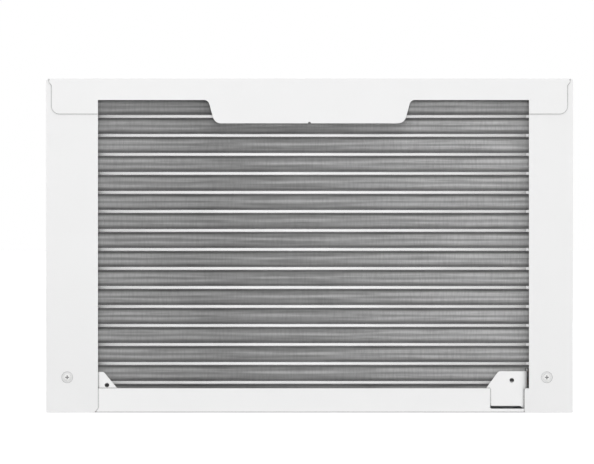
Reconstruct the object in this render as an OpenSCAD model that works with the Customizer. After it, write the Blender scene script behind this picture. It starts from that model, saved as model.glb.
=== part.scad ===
// Window air conditioner, modelled as it comes apart on a bench.
// Frame: +Z up, the room-side face towards -Y, the outdoor face towards +Y.
// The origin is on the sill plane, under the middle of the case. Millimetres.

/* [Case] */
// Width over the cabinet
body_w = 600; // [590:2:630]
// Height over the cabinet
body_h = 380; // [380:1:396]
// Depth from the room-side face to the rear flange
body_d = 564; // [556:2:600]
// Thickness of the cabinet and pan sheet
sheet_t = 1; // [0.8:0.1:1.2]
// Bend radius of the cabinet's long edges
bend_r = 3; // [2:0.5:5]
// Depth of the front moulding
front_d = 60; // [60:1:70]
// Height of the pan's walls
pan_wall_h = 26.4; // [24:0.2:30]

/* [Rear opening] */
// Width of the rear flange on the +X side
flange_pos_w = 59.2; // [54:0.2:60]
// Width of the rear flange on the -X side
flange_neg_w = 50.1; // [48:0.1:51]
// Height of the top rear flange
flange_top_h = 24.4; // [20:0.2:28]
// Depth of the middle tab of the top flange
mid_tab_h = 50.9; // [44:0.1:60]
// Half width of the middle tab where it meets the flange
mid_tab_x = 116; // [90:1:140]
// Height of the corner tabs that lap the side flanges
corner_tab_h = 40; // [32:1:50]
// Bare strip between a corner tab and the cabinet side
corner_tab_gap = 6.6; // [5:0.2:9]

/* [Condenser] */
// Radius of the coil tubes over the fin collars
tube_r = 3.5; // [3:0.1:4]
// Height from tube to tube in one row
tube_pitch = 21.7; // [20.6:0.1:21.7]
// Distance between the two rows
row_pitch = 18.8; // [16:0.2:20]
// Distance from fin to fin in the condenser
cond_fin_pitch = 15; // [8:0.5:24]
// Thickness of a coil fin
fin_t = 0.4; // [0.2:0.1:0.8]
// Thickness of the coil end plates
plate_t = 1.2; // [1:0.1:1.5]
// Room beside the condenser for its return bends and pipes
coil_side_room = 52.2; // [52:0.2:54]

/* [Evaporator] */
// Height of the lowest tube of the evaporator
evap_tube_z = 52; // [51:0.5:54]
// Distance from fin to fin in the evaporator
evap_fin_pitch = 12; // [8:0.5:24]

/* [Fans] */
// Place of the fan axis across the case
fan_x = -55; // [-60:1:-50]
// Gap from the slinger ring to the pan floor
fan_floor_gap = 12; // [11:0.5:14]
// Room over the slinger ring
fan_top_gap = 29; // [27:0.5:32]
// Blades of the condenser fan
fan_blades = 5; // [3:1:7]
// Room under the blower wheel for its scroll and wall
scroll_room = 37; // [35:0.5:45]
// Length of the blower wheel
blower_l = 75; // [60:1:76]
// Blades of the blower wheel
blower_blades = 36; // [24:2:48]
// Radius of the fan shaft
shaft_r = 4; // [3:0.5:5]
// Radius of the motor body
motor_r = 56; // [45:1:62]

/* [Air outlet] */
// Radius of the louvre and vane pivots
pivot_r = 2; // [1.5:0.1:2.2]
// Chord of a horizontal louvre
louvre_chord = 24; // [18:1:25]
// Chord of a vertical vane
vane_chord = 30; // [22:1:32]
// Vertical vanes in the outlet
vane_count = 6; // [6:1:6]

/* [Intake and controls] */
// Width of the control side, beside the air duct
control_w = 144; // [142:1:150]
// Distance from slat to slat in the intake grille
slat_pitch = 9; // [7:0.5:14]
// Thickness of a grille slat
slat_t = 2.4; // [1.6:0.2:3]
// Wall of the plastic mouldings
wall = 2.5; // [2:0.1:3]
// Travel of a control button
button_travel = 1; // [0.5:0.1:1.2]
// Running clearance round pins and shafts
run_gap = 0.06; // [0.04:0.01:0.1]

/* [Hidden] */
$fn = 48;

// Planes along the depth, from the room side to the outside
front_y = -body_d / 2;
rear_y = body_d / 2;
cab_front_y = front_y + front_d;
half_w = body_w / 2;
lap_y = rear_y - sheet_t;          // outer face of the side flanges
pan_rear_y = lap_y - sheet_t;      // outer face of the pan's rear wall
tab_y = pan_rear_y - sheet_t - plate_t;
coil_rear_y = tab_y - 6.2;
coil_d = 2 * row_pitch;
coil_front_y = coil_rear_y - coil_d;
pan_half = half_w - sheet_t;
floor_z = sheet_t;
open_pos_x = half_w - flange_pos_w;
open_neg_x = -half_w + flange_neg_w;
inner_top = body_h - sheet_t - 7;  // top of the shroud and partition
part_y = cab_front_y + 130;        // front face of the partition
duct_x0 = -half_w + 10;
duct_x1 = half_w - control_w;
guide_z = [36, body_h - 6];
out_z = [body_h - 90, body_h - 12];
duct_floor_t = 7;                  // foam under the outlet duct
cond_half = half_w - coil_side_room;
slinger_r = (inner_top - floor_z - fan_floor_gap - fan_top_gap) / 2;
fan_z = floor_z + fan_floor_gap + slinger_r;
blower_r = fan_z - guide_z[0] - scroll_room;

// ---------------------------------------------------------------- helpers
function unit(v) = v / norm(v);

// Points of one rounded corner at b, between its neighbours a and c
function corner_points(a, b, c, r, n) =
    r <= 0 ? [b] :
    let (u = unit(a - b), v = unit(c - b), half = acos(u * v) / 2,
         centre = b + unit(u + v) * r / sin(half),
         p = b + u * r / tan(half) - centre, q = b + v * r / tan(half) - centre,
         start = atan2(p.y, p.x), turn = atan2(p.x * q.y - p.y * q.x, p * q))
    [for (k = [0:n]) centre + r * [cos(start + turn * k / n), sin(start + turn * k / n)]];

// A closed outline from corners given as [x, y, radius]
function rounded(corners, n = 6) =
    let (m = len(corners))
    [for (i = [0:m - 1])
        let (a = corners[(i + m - 1) % m], b = corners[i], c = corners[(i + 1) % m])
        each corner_points([a.x, a.y], [b.x, b.y], [c.x, c.y], b.z, n)];

function rect_corners(x0, z0, x1, z1, r = 0) = [[x0, z0, r], [x1, z0, r], [x1, z1, r], [x0, z1, r]];
function reversed(list) = [for (i = [len(list) - 1:-1:0]) list[i]];
function mirrored(list) = [for (p = reversed(list)) [-p.x, p.y, p.z]];

module rect(x0, z0, x1, z1, r = 0, n = 6) {
    polygon(rounded(rect_corners(x0, z0, x1, z1, r), n));
}

// A block between two opposite corners
module block(a, b) {
    translate(a) cube(b - a);
}

// Stands a flat outline (x, z) up and gives it a thickness along +Y
module along_y(y0, t) {
    translate([0, y0 + t, 0]) rotate([90, 0, 0]) linear_extrude(t) children();
}

// Gives an outline (y, z) a thickness along +X
module along_x(x0, t) {
    translate([x0, 0, 0]) rotate([90, 0, 90]) linear_extrude(t) children();
}

// A round bar along Y, X or Z, from a start point
module rod_y(p, r, l) { translate(p) rotate([-90, 0, 0]) cylinder(r = r, h = l); }
module rod_x(p, r, l) { translate(p) rotate([0, 90, 0]) cylinder(r = r, h = l); }
module rod_z(p, r, l) { translate(p) cylinder(r = r, h = l); }

// A path through 3D points with bends of radius r, as a list of points
function bend_points(a, b, c, r, n) =
    let (u = unit(a - b), v = unit(c - b), half = acos(u * v) / 2,
         bisector = unit(u + v), centre = b + bisector * r / sin(half), t = r / tan(half),
         p = b + u * t - centre, q = b + v * t - centre, sweep = 180 - 2 * half)
    [for (k = [0:n]) centre
        + (p * sin(sweep * (1 - k / n)) + q * sin(sweep * k / n)) / sin(sweep)];

function bent_path(points, r, n = 5) =
    [points[0],
     for (i = [1:len(points) - 2]) each bend_points(points[i - 1], points[i], points[i + 1], r, n),
     points[len(points) - 1]];

// Frames carried along a path without twist
function tangent(path, i) =
    let (m = len(path) - 1) unit(path[min(i + 1, m)] - path[max(i - 1, 0)]);
function carried(path, i, side) =
    let (t = tangent(path, i)) unit(side - t * (side * t));
function sides(path, i = 0, side = [0.36, 0.48, 0.8]) =
    i >= len(path) ? [] :
    let (s = carried(path, i, side)) concat([s], sides(path, i + 1, s));

// A round pipe along a path, with flat ends
module pipe(points, r, bend, facets = 12) {
    path = bent_path(points, bend);
    side = sides(path);
    m = len(path);
    rings = [for (i = [0:m - 1])
        let (s = side[i], b = cross(tangent(path, i), s))
        for (k = [0:facets - 1])
            path[i] + r * (s * cos(360 * k / facets) + b * sin(360 * k / facets))];
    walls = [for (i = [0:m - 2], k = [0:facets - 1])
        let (j = (k + 1) % facets, lo = i * facets, hi = lo + facets)
        each [[lo + k, hi + k, lo + j], [lo + j, hi + k, hi + j]]];
    caps = [for (k = [1:facets - 2])
        each [[0, k, k + 1],
              [(m - 1) * facets, (m - 1) * facets + k + 1, (m - 1) * facets + k]]];
    polyhedron(rings, concat(walls, caps));
}

// ---------------------------------------------------------------- sheet-metal details
side_screw_z = 15;
side_screw_in = 42;                // from the cabinet's front and rear edges
side_screw_ys = [cab_front_y + side_screw_in, (cab_front_y + rear_y) / 2, rear_y - side_screw_in];
rear_screw_z = 40;
rear_screw_xs = [half_w - 24.2, -half_w + 29.8];
screw_r = 1.9;
head_r = 4.3;
head_h = 1.5;
dimple = 0.5;
dimple_r = 6.5;
fit = 0.05;                        // gap round a pin, tube or screw that sits still
slide_gap = 0.5;                   // gap round a part that slides or swings

// Screws are drawn along -Z with the underside of the head at 0
module pan_screw(length) {
    difference() {
        rotate_extrude() polygon([[0, -length], [screw_r * 0.4, -length], [screw_r, 2 - length], [screw_r, 0],
            [head_r, 0], [head_r, head_h * 0.5], [head_r * 0.75, head_h], [0, head_h]]);
        for (a = [0, 90]) rotate([0, 0, a]) translate([-2.2, -0.5, head_h * 0.4]) cube([4.4, 1, head_h]);
    }
}

module at_rear_screws(y) {
    for (x = rear_screw_xs) translate([x, y, rear_screw_z]) rotate([-90, 0, 0]) children();
}

module at_side_screws(x) {
    for (s = [-1, 1], y = side_screw_ys) translate([s * x, y, side_screw_z])
        rotate([0, s * 90, 0]) children();
}

// ---------------------------------------------------------------- base pan
notch_x0 = open_neg_x + 5;
notch_x1 = notch_x0 + 39.1;
notch_z = 4.2;
ear_h = 52;                        // height of the pan's rear corners
ear_w = 45;
rib_h = 3;
rib_w = 14;
rib_xs = [-half_w + 50, 30];
drain_r = 7;
drain_at = [60, pan_rear_y - 35];
comp_at = [half_w - 105, part_y + 152];
comp_feet = [for (a = [90, 210, 330]) comp_at + 74 * [cos(a), sin(a)]];
stud_r = 3;
nut_h = 5;
pan_inner = pan_half - sheet_t;

module rib_outline(x, inset) {
    x0 = x - rib_w / 2 + inset;
    x1 = x + rib_w / 2 - inset;
    end_r = rib_w / 2 - inset;
    rect(x0, cab_front_y + 57 + inset, x1, part_y - 18 - inset, end_r);
    rect(x0, part_y + 22 + inset, x1, shroud_y - 43 - inset, end_r);
}

module base_pan() {
    color("gainsboro") difference() {
        union() {
            block([-pan_half, cab_front_y, 0], [pan_half, pan_rear_y, floor_z]);
            for (s = [-1, 1]) translate([s < 0 ? -pan_half : pan_inner, cab_front_y, 0])
                cube([sheet_t, pan_rear_y - cab_front_y, pan_wall_h + floor_z]);
            block([-pan_half, cab_front_y, 0], [pan_half, cab_front_y + sheet_t, pan_wall_h + floor_z]);
            along_y(pan_rear_y - sheet_t, sheet_t) difference() {
                polygon(rounded([[-pan_half, 0, 0], [pan_half, 0, 0], [pan_half, ear_h, 0],
                    [pan_half - ear_w, ear_h, 4], [pan_half - ear_w - 5, pan_wall_h + floor_z, 2],
                    [-pan_half + ear_w + 3, pan_wall_h + floor_z, 2], [-pan_half + ear_w - 2, ear_h, 4],
                    [-pan_half, ear_h, 0]]));
                polygon(rounded([[notch_x0, notch_z, 1.7], [notch_x1, notch_z, 1.7],
                    [notch_x1, 60, 0], [notch_x0, 60, 0]]));
            }
            for (x = rib_xs) linear_extrude(rib_h + floor_z) rib_outline(x, 0);
            for (p = comp_feet) rod_z([p.x, p.y, 0], stud_r + 4, floor_z + rib_h);
            for (p = comp_feet) rod_z([p.x, p.y, 0], stud_r, grommet_top + nut_h + 2);
            for (p = bracket_studs) rod_z([p.x, p.y, 0], stud_r, floor_z + bracket_foot + nut_h + 2);
        }
        for (x = rib_xs) translate([0, 0, -1]) linear_extrude(rib_h + 1) rib_outline(x, 1.2);
        rod_z([drain_at.x, drain_at.y, -1], drain_r, floor_z + 2);
        at_rear_screws(pan_rear_y + 1) rod_z([0, 0, -6], screw_r + fit, 8);
        at_side_screws(pan_half + 1) rod_z([0, 0, -6], screw_r + fit, 8);
    }
}

// ---------------------------------------------------------------- cabinet
tab_corner_r = 8.5;
opening_top_z = body_h - flange_top_h;
tab_z = body_h - mid_tab_h;
vent_w = 56;
vent_h = 3.6;
vent_z = 110;
vent_pitch = 14;
vent_rows = 14;
vent_cols = 3;
vent_gap = 66;
vent_y = rear_y - 222;
top_vent_x = [-half_w + 90, half_w - 212];
top_vent_rows = 8;
rail_hole_r = 2.2;
rail_hole_x = 180;
rail_y = cab_front_y + 40;
rail_spacing_y = 20;
side_hole_z = [90, 290];

// Slots of one side, as an outline in (y, z)
module vent_slots(y0, z0, rows, cols) {
    for (c = [0:cols - 1], r = [0:rows - 1])
        rect(y0 + c * vent_gap, z0 + r * vent_pitch, y0 + c * vent_gap + vent_w,
            z0 + r * vent_pitch + vent_h, vent_h / 2 - 0.3, 1);
}

module wrapper_section() {
    outer = rounded([[-half_w, 0, 0], [-half_w, body_h, bend_r], [half_w, body_h, bend_r], [half_w, 0, 0],
        [half_w - sheet_t, 0, 0], [half_w - sheet_t, body_h - sheet_t, bend_r - sheet_t],
        [-half_w + sheet_t, body_h - sheet_t, bend_r - sheet_t], [-half_w + sheet_t, 0, 0]]);
    polygon(outer);
}

// Right half of the top flange's lower edge, from the corner tab to the middle
function flange_half(open_x) = [
    [half_w, body_h, bend_r], [half_w - corner_tab_gap, body_h - corner_tab_gap - 1, 3],
    [half_w - corner_tab_gap, body_h - corner_tab_h, tab_corner_r], [open_x, body_h - corner_tab_h, 0],
    [open_x, opening_top_z, 0], [mid_tab_x - 0.8, opening_top_z, 6], [mid_tab_x - 8, tab_z, 9.5]];

module cabinet() {
    color("white") difference() {
        union() {
            along_y(cab_front_y, lap_y - cab_front_y) wrapper_section();
            along_y(lap_y - sheet_t, sheet_t) {
                polygon(rounded([[open_pos_x, 5, 0], [open_pos_x + 4, 0, 0], [half_w, 0, 0],
                    [half_w, body_h - 1, bend_r], [open_pos_x, body_h - 1, 0]]));
                polygon(rounded([[open_neg_x, pan_wall_h + floor_z, 0], [open_neg_x, body_h - 1, 0],
                    [-half_w, body_h - 1, bend_r], [-half_w, 0, 0], [notch_x0, 0, 1.5],
                    [notch_x0, pan_wall_h + floor_z, 2.5]]));
            }
            along_y(lap_y, sheet_t)
                polygon(rounded(concat(flange_half(open_pos_x), mirrored(flange_half(-open_neg_x)))));
            block([-half_w + bend_r, lap_y - 2, body_h - sheet_t], [half_w - bend_r, rear_y, body_h]);
        }
        for (s = [-1, 1]) translate([s * half_w, 0, 0]) along_x(-2, 4)
            vent_slots(vent_y, vent_z, vent_rows, vent_cols);
        for (x = top_vent_x) translate([0, 0, body_h - 2]) linear_extrude(4)
            vent_slots(x, vent_y, top_vent_rows, 2);
        for (x = [-rail_hole_x, rail_hole_x], y = [rail_y, rail_y + rail_spacing_y])
            rod_z([x, y, body_h - 3], rail_hole_r, 6);
        for (s = [-1, 1], z = side_hole_z) rod_x([s * half_w - 3, rail_y, z], rail_hole_r, 6);
        rod_y([0, lap_y - 3, tab_z], 1.7, 8);
        at_rear_screws(lap_y) rod_z([0, 0, -4], screw_r + fit, 8);
        at_rear_screws(lap_y) rod_z([0, 0, -dimple], dimple_r, 8);
        at_side_screws(half_w) rod_z([0, 0, -4], screw_r + fit, 8);
        at_side_screws(half_w) rod_z([0, 0, -dimple], dimple_r, 8);
    }
}

module cabinet_screws() {
    color("white") {
        at_rear_screws(lap_y - dimple) pan_screw(9);
        at_side_screws(half_w - dimple) pan_screw(9);
    }
}

// ---------------------------------------------------------------- coils
bend_out = 4;                      // straight run from an end plate to a return bend
stub_out = 9;                      // straight run from an end plate to a soldered pipe
plate_margin = 3;                  // end plate past the fins
end_fin_gap = 1.5;                 // from an end plate to the nearest fin
cond_tube_z = 34.3;                // lowest tube of the outer row

// Tubes of a row, an even count, for fins that reach from low to no more than high
function tubes_between(low, high) = 2 * floor(((high - low) / tube_pitch - 0.5) / 2);
cond_tubes = tubes_between(cond_tube_z - tube_pitch, inner_top);
evap_tubes = tubes_between(evap_tube_z - tube_pitch / 2, out_z[0] - duct_floor_t);
cond_rear_row = coil_rear_y - row_pitch / 2;
cond_x = [-cond_half, cond_half];
cond_stub_x = cond_half + plate_t + stub_out;
evap_x = [duct_x0 + 28, duct_x1 - 28];
evap_y = cab_front_y + 5;
evap_stub_x = evap_x[1] + plate_t + stub_out;

// Tube centres of a two-row coil as [y, z]; the second row is stepped by half a pitch
function coil_row(at, n, dy, dz) =
    [[for (k = [0:n - 1]) at + [0, k * tube_pitch]],
     [for (k = [0:n - 1]) at + [dy, dz + k * tube_pitch]]];
function cond_rows() = coil_row([cond_rear_row, cond_tube_z], cond_tubes, -row_pitch, -tube_pitch / 2);
function evap_rows() = coil_row([evap_y + row_pitch / 2, evap_tube_z], evap_tubes, row_pitch, tube_pitch / 2);

module coil_holes(rows, r) {
    for (row = rows, p = row) translate(p) circle(r = r);
}

// One fin or plate outline, (y, z), as far as half a pitch past the outer tubes
module coil_outline(rows, margin = 0) {
    all = concat(rows[0], rows[1]);
    ys = [for (p = all) p.x];
    zs = [for (p = all) p.y];
    rect(min(ys) - row_pitch / 2 - margin, min(zs) - tube_pitch / 2 - margin,
        max(ys) + row_pitch / 2 + margin, max(zs) + tube_pitch / 2 + margin);
}

// Fins at about the given pitch, spread evenly from one end plate to the other
module coil_fins(x, rows, pitch) {
    first = x[0] + end_fin_gap;
    last = x[1] - end_fin_gap - fin_t;
    count = round((last - first) / pitch);
    for (i = [0:count]) along_x(first + i * (last - first) / count, fin_t) difference() {
        coil_outline(rows);
        coil_holes(rows, tube_r + fit);
    }
}

// A return bend from tube a to tube b, outside the end plate at x
module return_bend(x, side, a, b) {
    d = b - a;
    translate([x, (a.x + b.x) / 2, (a.y + b.y) / 2]) mirror([side < 0 ? 1 : 0, 0, 0])
        rotate([atan2(d.y, d.x), 0, 0]) rotate([0, 0, -90]) rotate_extrude(angle = 180)
            translate([norm(d) / 2, 0]) circle(r = tube_r);
}

// The whole circuit: in at the top of the first row, out at the top of the second.
// The bend that joins the rows is a separate fitting, soldered on with a thin gap.
module coil_tubes(x, rows) {
    n = len(rows[0]);
    x0 = x[0] - plate_t - bend_out;
    x1 = x[1] + plate_t + bend_out;
    for (row = rows, k = [0:n - 1]) {
        last = k == n - 1 ? stub_out - bend_out : 0;
        rod_x([x0, row[k].x, row[k].y], tube_r, x1 - x0 + last);
    }
    for (k = [0:n - 2]) {
        return_bend(k % 2 == 0 ? x0 : x1, k % 2 == 0 ? -1 : 1, rows[0][k], rows[0][k + 1]);
        return_bend(k % 2 == 0 ? x0 : x1, k % 2 == 0 ? -1 : 1, rows[1][k], rows[1][k + 1]);
    }
    return_bend(x1 + fit, 1, rows[0][0], rows[1][0]);
}

module condenser_fins() {
    color("darkgray") coil_fins(cond_x, cond_rows(), cond_fin_pitch);
}

module condenser_tubes() {
    color("peru") coil_tubes(cond_x, cond_rows());
}

// ---------------------------------------------------------------- condenser end plates
plate_recess = 3;                  // from the face of the fins to the plate's rear edge
foot_bend = 8.5;
foot_reach = 67.2;                 // past the longest ear
plate_front_y = coil_front_y - plate_margin;
cond_top_z = cond_tube_z + (cond_tubes - 0.5) * tube_pitch;
ear_hole_r = 2.6;
ear_top = 46.8;

// Plate and rear foot as one bent sheet, seen from above, for the +X end
module foot_section(x, reach) {
    y1 = tab_y + plate_t;
    polygon(rounded([[x, plate_front_y, 0], [x + plate_t, plate_front_y, 0],
        [x + plate_t, y1, foot_bend + plate_t], [reach, y1, 0], [reach, tab_y, 0], [x, tab_y, foot_bend]]));
}

module end_plate(rows, foot, hole) {
    difference() {
        union() {
            along_x(cond_half, plate_t)
                rect(plate_front_y, floor_z, coil_rear_y - plate_recess, cond_top_z + 0.6);
            intersection() {
                linear_extrude(body_h) foot_section(cond_half, cond_half - foot_reach);
                along_y(plate_front_y, 60) polygon(rounded(foot));
            }
        }
        along_x(cond_half - 1, plate_t + 2) coil_holes(rows, tube_r + fit);
        rod_y([hole.x, tab_y - 1, hole.y], ear_hole_r, plate_t + 2);
    }
}

// An ear's outline from corners given as [distance inboard of the plate, z, radius]
function inboard(corners) = [for (c = corners) [cond_half - c.x, c.y, c.z]];

module condenser_plate_pos() {
    color("whitesmoke") end_plate(cond_rows(), inboard([[-3, floor_z, 0], [-3, ear_top - 0.7, 0],
        [13.4, ear_top - 0.7, 3], [33.8, 21.5, 3], [33.8, 8, 0], [22.8, floor_z, 0]]),
        [cond_half - 17.1, 31]);
}

module condenser_plate_neg() {
    color("whitesmoke") mirror([1, 0, 0]) end_plate(cond_rows(), inboard([[-3, floor_z + 1, 0],
        [-3, ear_top, 0], [32.4, ear_top, 4], [46.9, 27.1, 1], [41.7, 24.5, 1], [41.7, 7.4, 2],
        [5.3, 7.4, 3.5], [5.3, floor_z + 6, 0], [3, floor_z + 1, 0]]), [cond_half - 17.3, 36.5]);
}

// ---------------------------------------------------------------- condenser shroud and fan
shroud_y = coil_front_y - 31;
shroud_back = plate_front_y + 5;
shroud_half = cond_half + plate_t;
orifice_gap = 6;
orifice_r = slinger_r + orifice_gap;
orifice_lip = 17;
fan_at = [fan_x, shroud_y - 22, fan_z];
ring_t = 2;
ring_l = 14;
hub_r = 22;
blade_t = 2;
blade_pitch = 23;                  // degrees
blade_camber_r = 150;
fan_hub_y = [fan_at.y - 16, fan_at.y + 18];
nut_t = 6.5;
nut_r = 7.5;

module condenser_shroud() {
    color("silver") difference() {
        union() {
            along_y(shroud_y, sheet_t)
                rect(-shroud_half - sheet_t, floor_z, shroud_half + sheet_t, inner_top);
            for (s = [-1, 1]) along_y(shroud_y, shroud_back - shroud_y)
                rect(s * (shroud_half + sheet_t / 2) - sheet_t / 2, floor_z,
                    s * (shroud_half + sheet_t / 2) + sheet_t / 2, inner_top);
            block([-shroud_half, shroud_y, inner_top - sheet_t], [shroud_half, shroud_back, inner_top]);
            rod_y([fan_x, shroud_y - orifice_lip, fan_z], orifice_r + sheet_t, orifice_lip);
        }
        rod_y([fan_x, shroud_y - orifice_lip - 1, fan_z], orifice_r, orifice_lip + 3);
    }
}

// One cambered blade, reaching along +X, with the fan axis along Y
module fan_blade() {
    centre = [-10 - blade_camber_r * sin(blade_pitch), blade_camber_r * cos(blade_pitch) - 7];
    intersection() {
        difference() {
            rod_x([10, centre.y, centre.x], blade_camber_r, slinger_r);
            rod_x([9, centre.y, centre.x], blade_camber_r - blade_t, slinger_r + 2);
        }
        along_y(-40, 80) intersection() {
            polygon(rounded([[12, -12, 0], [60, -34, 20], [150, -66, 14], [slinger_r + 8, -30, 0],
                [slinger_r + 4, 22, 10], [120, 34, 16], [50, 18, 20], [12, 10, 0]]));
            circle(r = slinger_r - ring_t / 2);
        }
    }
}

module condenser_fan() {
    color("dimgray") difference() {
        union() {
            for (i = [0:fan_blades - 1]) translate(fan_at) rotate([0, i * 360 / fan_blades, 0]) fan_blade();
            rod_y([fan_x, fan_hub_y[0], fan_z], hub_r, fan_hub_y[1] - fan_hub_y[0]);
            difference() {
                rod_y([fan_x, fan_at.y - ring_l / 2, fan_z], slinger_r, ring_l);
                rod_y([fan_x, fan_at.y - ring_l / 2 - 1, fan_z], slinger_r - ring_t, ring_l + 2);
            }
        }
        rod_y([fan_x, fan_hub_y[0] - 1, fan_z], shaft_r + fit, fan_hub_y[1] - fan_hub_y[0] + 2);
    }
}

// ---------------------------------------------------------------- partition and air guide
orifice_y = evap_y + coil_d + 1.5;
guide_y = orifice_y + wall;
out_x = [duct_x0 + 22, duct_x1 - 8];
out_front_y = front_y + 1;
out_back_y = cab_front_y + 17;
bell_r = blower_r - 23;
blower_y = [part_y - 3 - blower_l, part_y - 3];
scroll_gap = 9;
scroll_step = 0.144;               // growth of the scroll for each degree
partition_feet = [-half_w + 100, 60, half_w - 60];
foot_w = 40;
foot_l = 13;
vent_at = [duct_x1 + 34, body_h - 40];
vent_hole_x = duct_x1 - 35;
vent_hole_r = 19;
rod_r = 3;
liquid_hole = [duct_x1 + 12, 120];
suction_hole = [duct_x1 + 30, 235];
liquid_r = 3.2;
suction_r = 5;
pipe_clear = 1.5;

module partition() {
    color("lightgray") {
        along_y(part_y, sheet_t) difference() {
            rect(-pan_inner + slide_gap, floor_z, pan_inner - slide_gap, inner_top, 3);
            translate([fan_x, fan_z]) circle(r = shaft_r * 3);
            translate([vent_hole_x, vent_at.y]) circle(r = vent_hole_r);
            translate(vent_at) circle(r = rod_r + 1);
            translate(liquid_hole) circle(r = liquid_r + pipe_clear);
            translate(suction_hole) circle(r = suction_r + pipe_clear);
        }
        for (x = partition_feet) block([x - foot_w / 2, part_y + sheet_t, floor_z],
            [x + foot_w / 2, part_y + foot_l, floor_z + sheet_t]);
    }
}

// Outline of the scroll: a spiral round the wheel that opens into the outlet duct
module scroll_outline() {
    function spiral(a) = blower_r + scroll_gap + scroll_step * (70 - a);
    polygon(concat([for (a = [70:-10:-180]) [fan_x + spiral(a) * cos(a), fan_z + spiral(a) * sin(a)]],
        [[out_x[0], out_z[0] + 10], [out_x[0], out_z[1]], [out_x[1], out_z[1]], [out_x[1], out_z[0] + 6]]));
}

module air_guide() {
    color("white") difference() {
        union() {
            along_y(guide_y, part_y - guide_y) rect(duct_x0, guide_z[0], duct_x1, guide_z[1], 8);
            along_y(out_back_y, guide_y - out_back_y + 5)
                rect(duct_x0 + 14, out_z[0] - duct_floor_t, duct_x1, guide_z[1]);
        }
        along_y(guide_y - 1, part_y - guide_y + 2) scroll_outline();
        along_y(out_back_y - 1, guide_y - out_back_y + 3) rect(out_x[0], out_z[0], out_x[1], out_z[1]);
    }
}

module blower_orifice() {
    color("gainsboro") difference() {
        union() {
            along_y(orifice_y, wall) rect(duct_x0, guide_z[0], duct_x1, out_z[0] - 8, 4);
            rod_y([fan_x, orifice_y, fan_z], bell_r + wall, wall + 2.5);
        }
        rod_y([fan_x, orifice_y - 1, fan_z], bell_r, wall + 10);
        translate([fan_x, orifice_y - 0.01, fan_z]) rotate([-90, 0, 0])
            cylinder(r1 = bell_r + 2, r2 = bell_r, h = 2);
    }
}

// Blower wheel: back disc, forward-curved blades, front ring
blade_in_r = blower_r - 17;
wheel_hub_l = 20;
wheel_hub_r = 14;
function blade_arc(r0, r1, lean, n) =
    [for (k = [0:n]) let (t = k / n, r = r0 + (r1 - r0) * t, a = lean * t * t) r * [cos(a), sin(a)]];

module blower_blade() {
    arc = blade_arc(blade_in_r, blower_r - 1, 9, 3);
    polygon(concat(arc, [for (p = reversed(arc)) p + [0, 1.2]]));
}

module blower_wheel() {
    disc = 2;
    color("black") difference() {
        union() {
            rod_y([fan_x, blower_y[1] - disc, fan_z], blower_r, disc);
            rod_y([fan_x, blower_y[1] - wheel_hub_l, fan_z], wheel_hub_r, wheel_hub_l);
            for (i = [0:blower_blades - 1]) translate([fan_x, 0, fan_z])
                rotate([0, i * 360 / blower_blades, 0])
                along_y(blower_y[0] + 1, blower_l - disc) blower_blade();
            difference() {
                rod_y([fan_x, blower_y[0], fan_z], blower_r, 3);
                rod_y([fan_x, blower_y[0] - 1, fan_z], blade_in_r, 5);
            }
        }
        rod_y([fan_x, blower_y[1] - wheel_hub_l - 1, fan_z], shaft_r + fit, wheel_hub_l + 2);
    }
}

// ---------------------------------------------------------------- fan motor, bracket and shaft
motor_y = [part_y + 22, part_y + 112];
boss_r = 24;
boss_l = 10;
cradle_t = 3;
bracket_half = 60;
bracket_foot = 2;
shaft_end = 3;                     // shaft past each hub nut
bracket_y = [motor_y[0] - boss_l - 4, motor_y[1] + boss_l + 4];
bracket_studs = [for (sx = [-1, 1], y = [motor_y[0] + 14, motor_y[1] - 14])
    [fan_x + sx * (bracket_half - 10), y]];
shaft_y = [blower_y[1] - wheel_hub_l - nut_t - shaft_end, fan_hub_y[1] + nut_t + shaft_end];

module fan_motor() {
    color("slategray") difference() {
        union() {
            translate([fan_x, motor_y[0], fan_z]) rotate([-90, 0, 0]) rotate_extrude()
                polygon(rounded([[0, 0, 0], [motor_r - 10, 0, 0], [motor_r, 10, 8], [motor_r, 80, 8],
                    [motor_r - 10, motor_y[1] - motor_y[0], 0], [0, motor_y[1] - motor_y[0], 0]], 4));
            rod_y([fan_x, motor_y[0] - boss_l, fan_z], boss_r, motor_y[1] - motor_y[0] + 2 * boss_l);
            rod_y([fan_x, motor_y[0] + 30, fan_z], motor_r + 3, 30);
        }
        rod_y([fan_x, motor_y[0] - boss_l - 1, fan_z], shaft_r + run_gap,
            motor_y[1] - motor_y[0] + 2 * boss_l + 2);
    }
}

module cradle() {
    difference() {
        polygon(rounded([[fan_x - bracket_half, floor_z, 0], [fan_x + bracket_half, floor_z, 0],
            [fan_x + bracket_half, floor_z + 14, 4], [fan_x + boss_r + 10, fan_z, 30],
            [fan_x + boss_r + 6, fan_z + boss_r + 12, 16], [fan_x - boss_r - 6, fan_z + boss_r + 12, 16],
            [fan_x - boss_r - 10, fan_z, 30], [fan_x - bracket_half, floor_z + 14, 4]]));
        translate([fan_x, fan_z]) circle(r = boss_r + fit);
        rect(fan_x - 30, floor_z + 30, fan_x + 30, fan_z - boss_r - 30, 12);
    }
}

module motor_bracket() {
    color("darkgray") difference() {
        union() {
            block([fan_x - bracket_half, bracket_y[0], floor_z],
                [fan_x + bracket_half, bracket_y[1], floor_z + bracket_foot]);
            along_y(motor_y[0] - boss_l + 2, cradle_t) cradle();
            along_y(motor_y[1] + boss_l - 2 - cradle_t, cradle_t) cradle();
        }
        for (p = bracket_studs) rod_z([p.x, p.y, 0], stud_r + fit, 10);
    }
}

module fan_shaft() {
    color("silver") rod_y([fan_x, shaft_y[0], fan_z], shaft_r, shaft_y[1] - shaft_y[0]);
}

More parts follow.
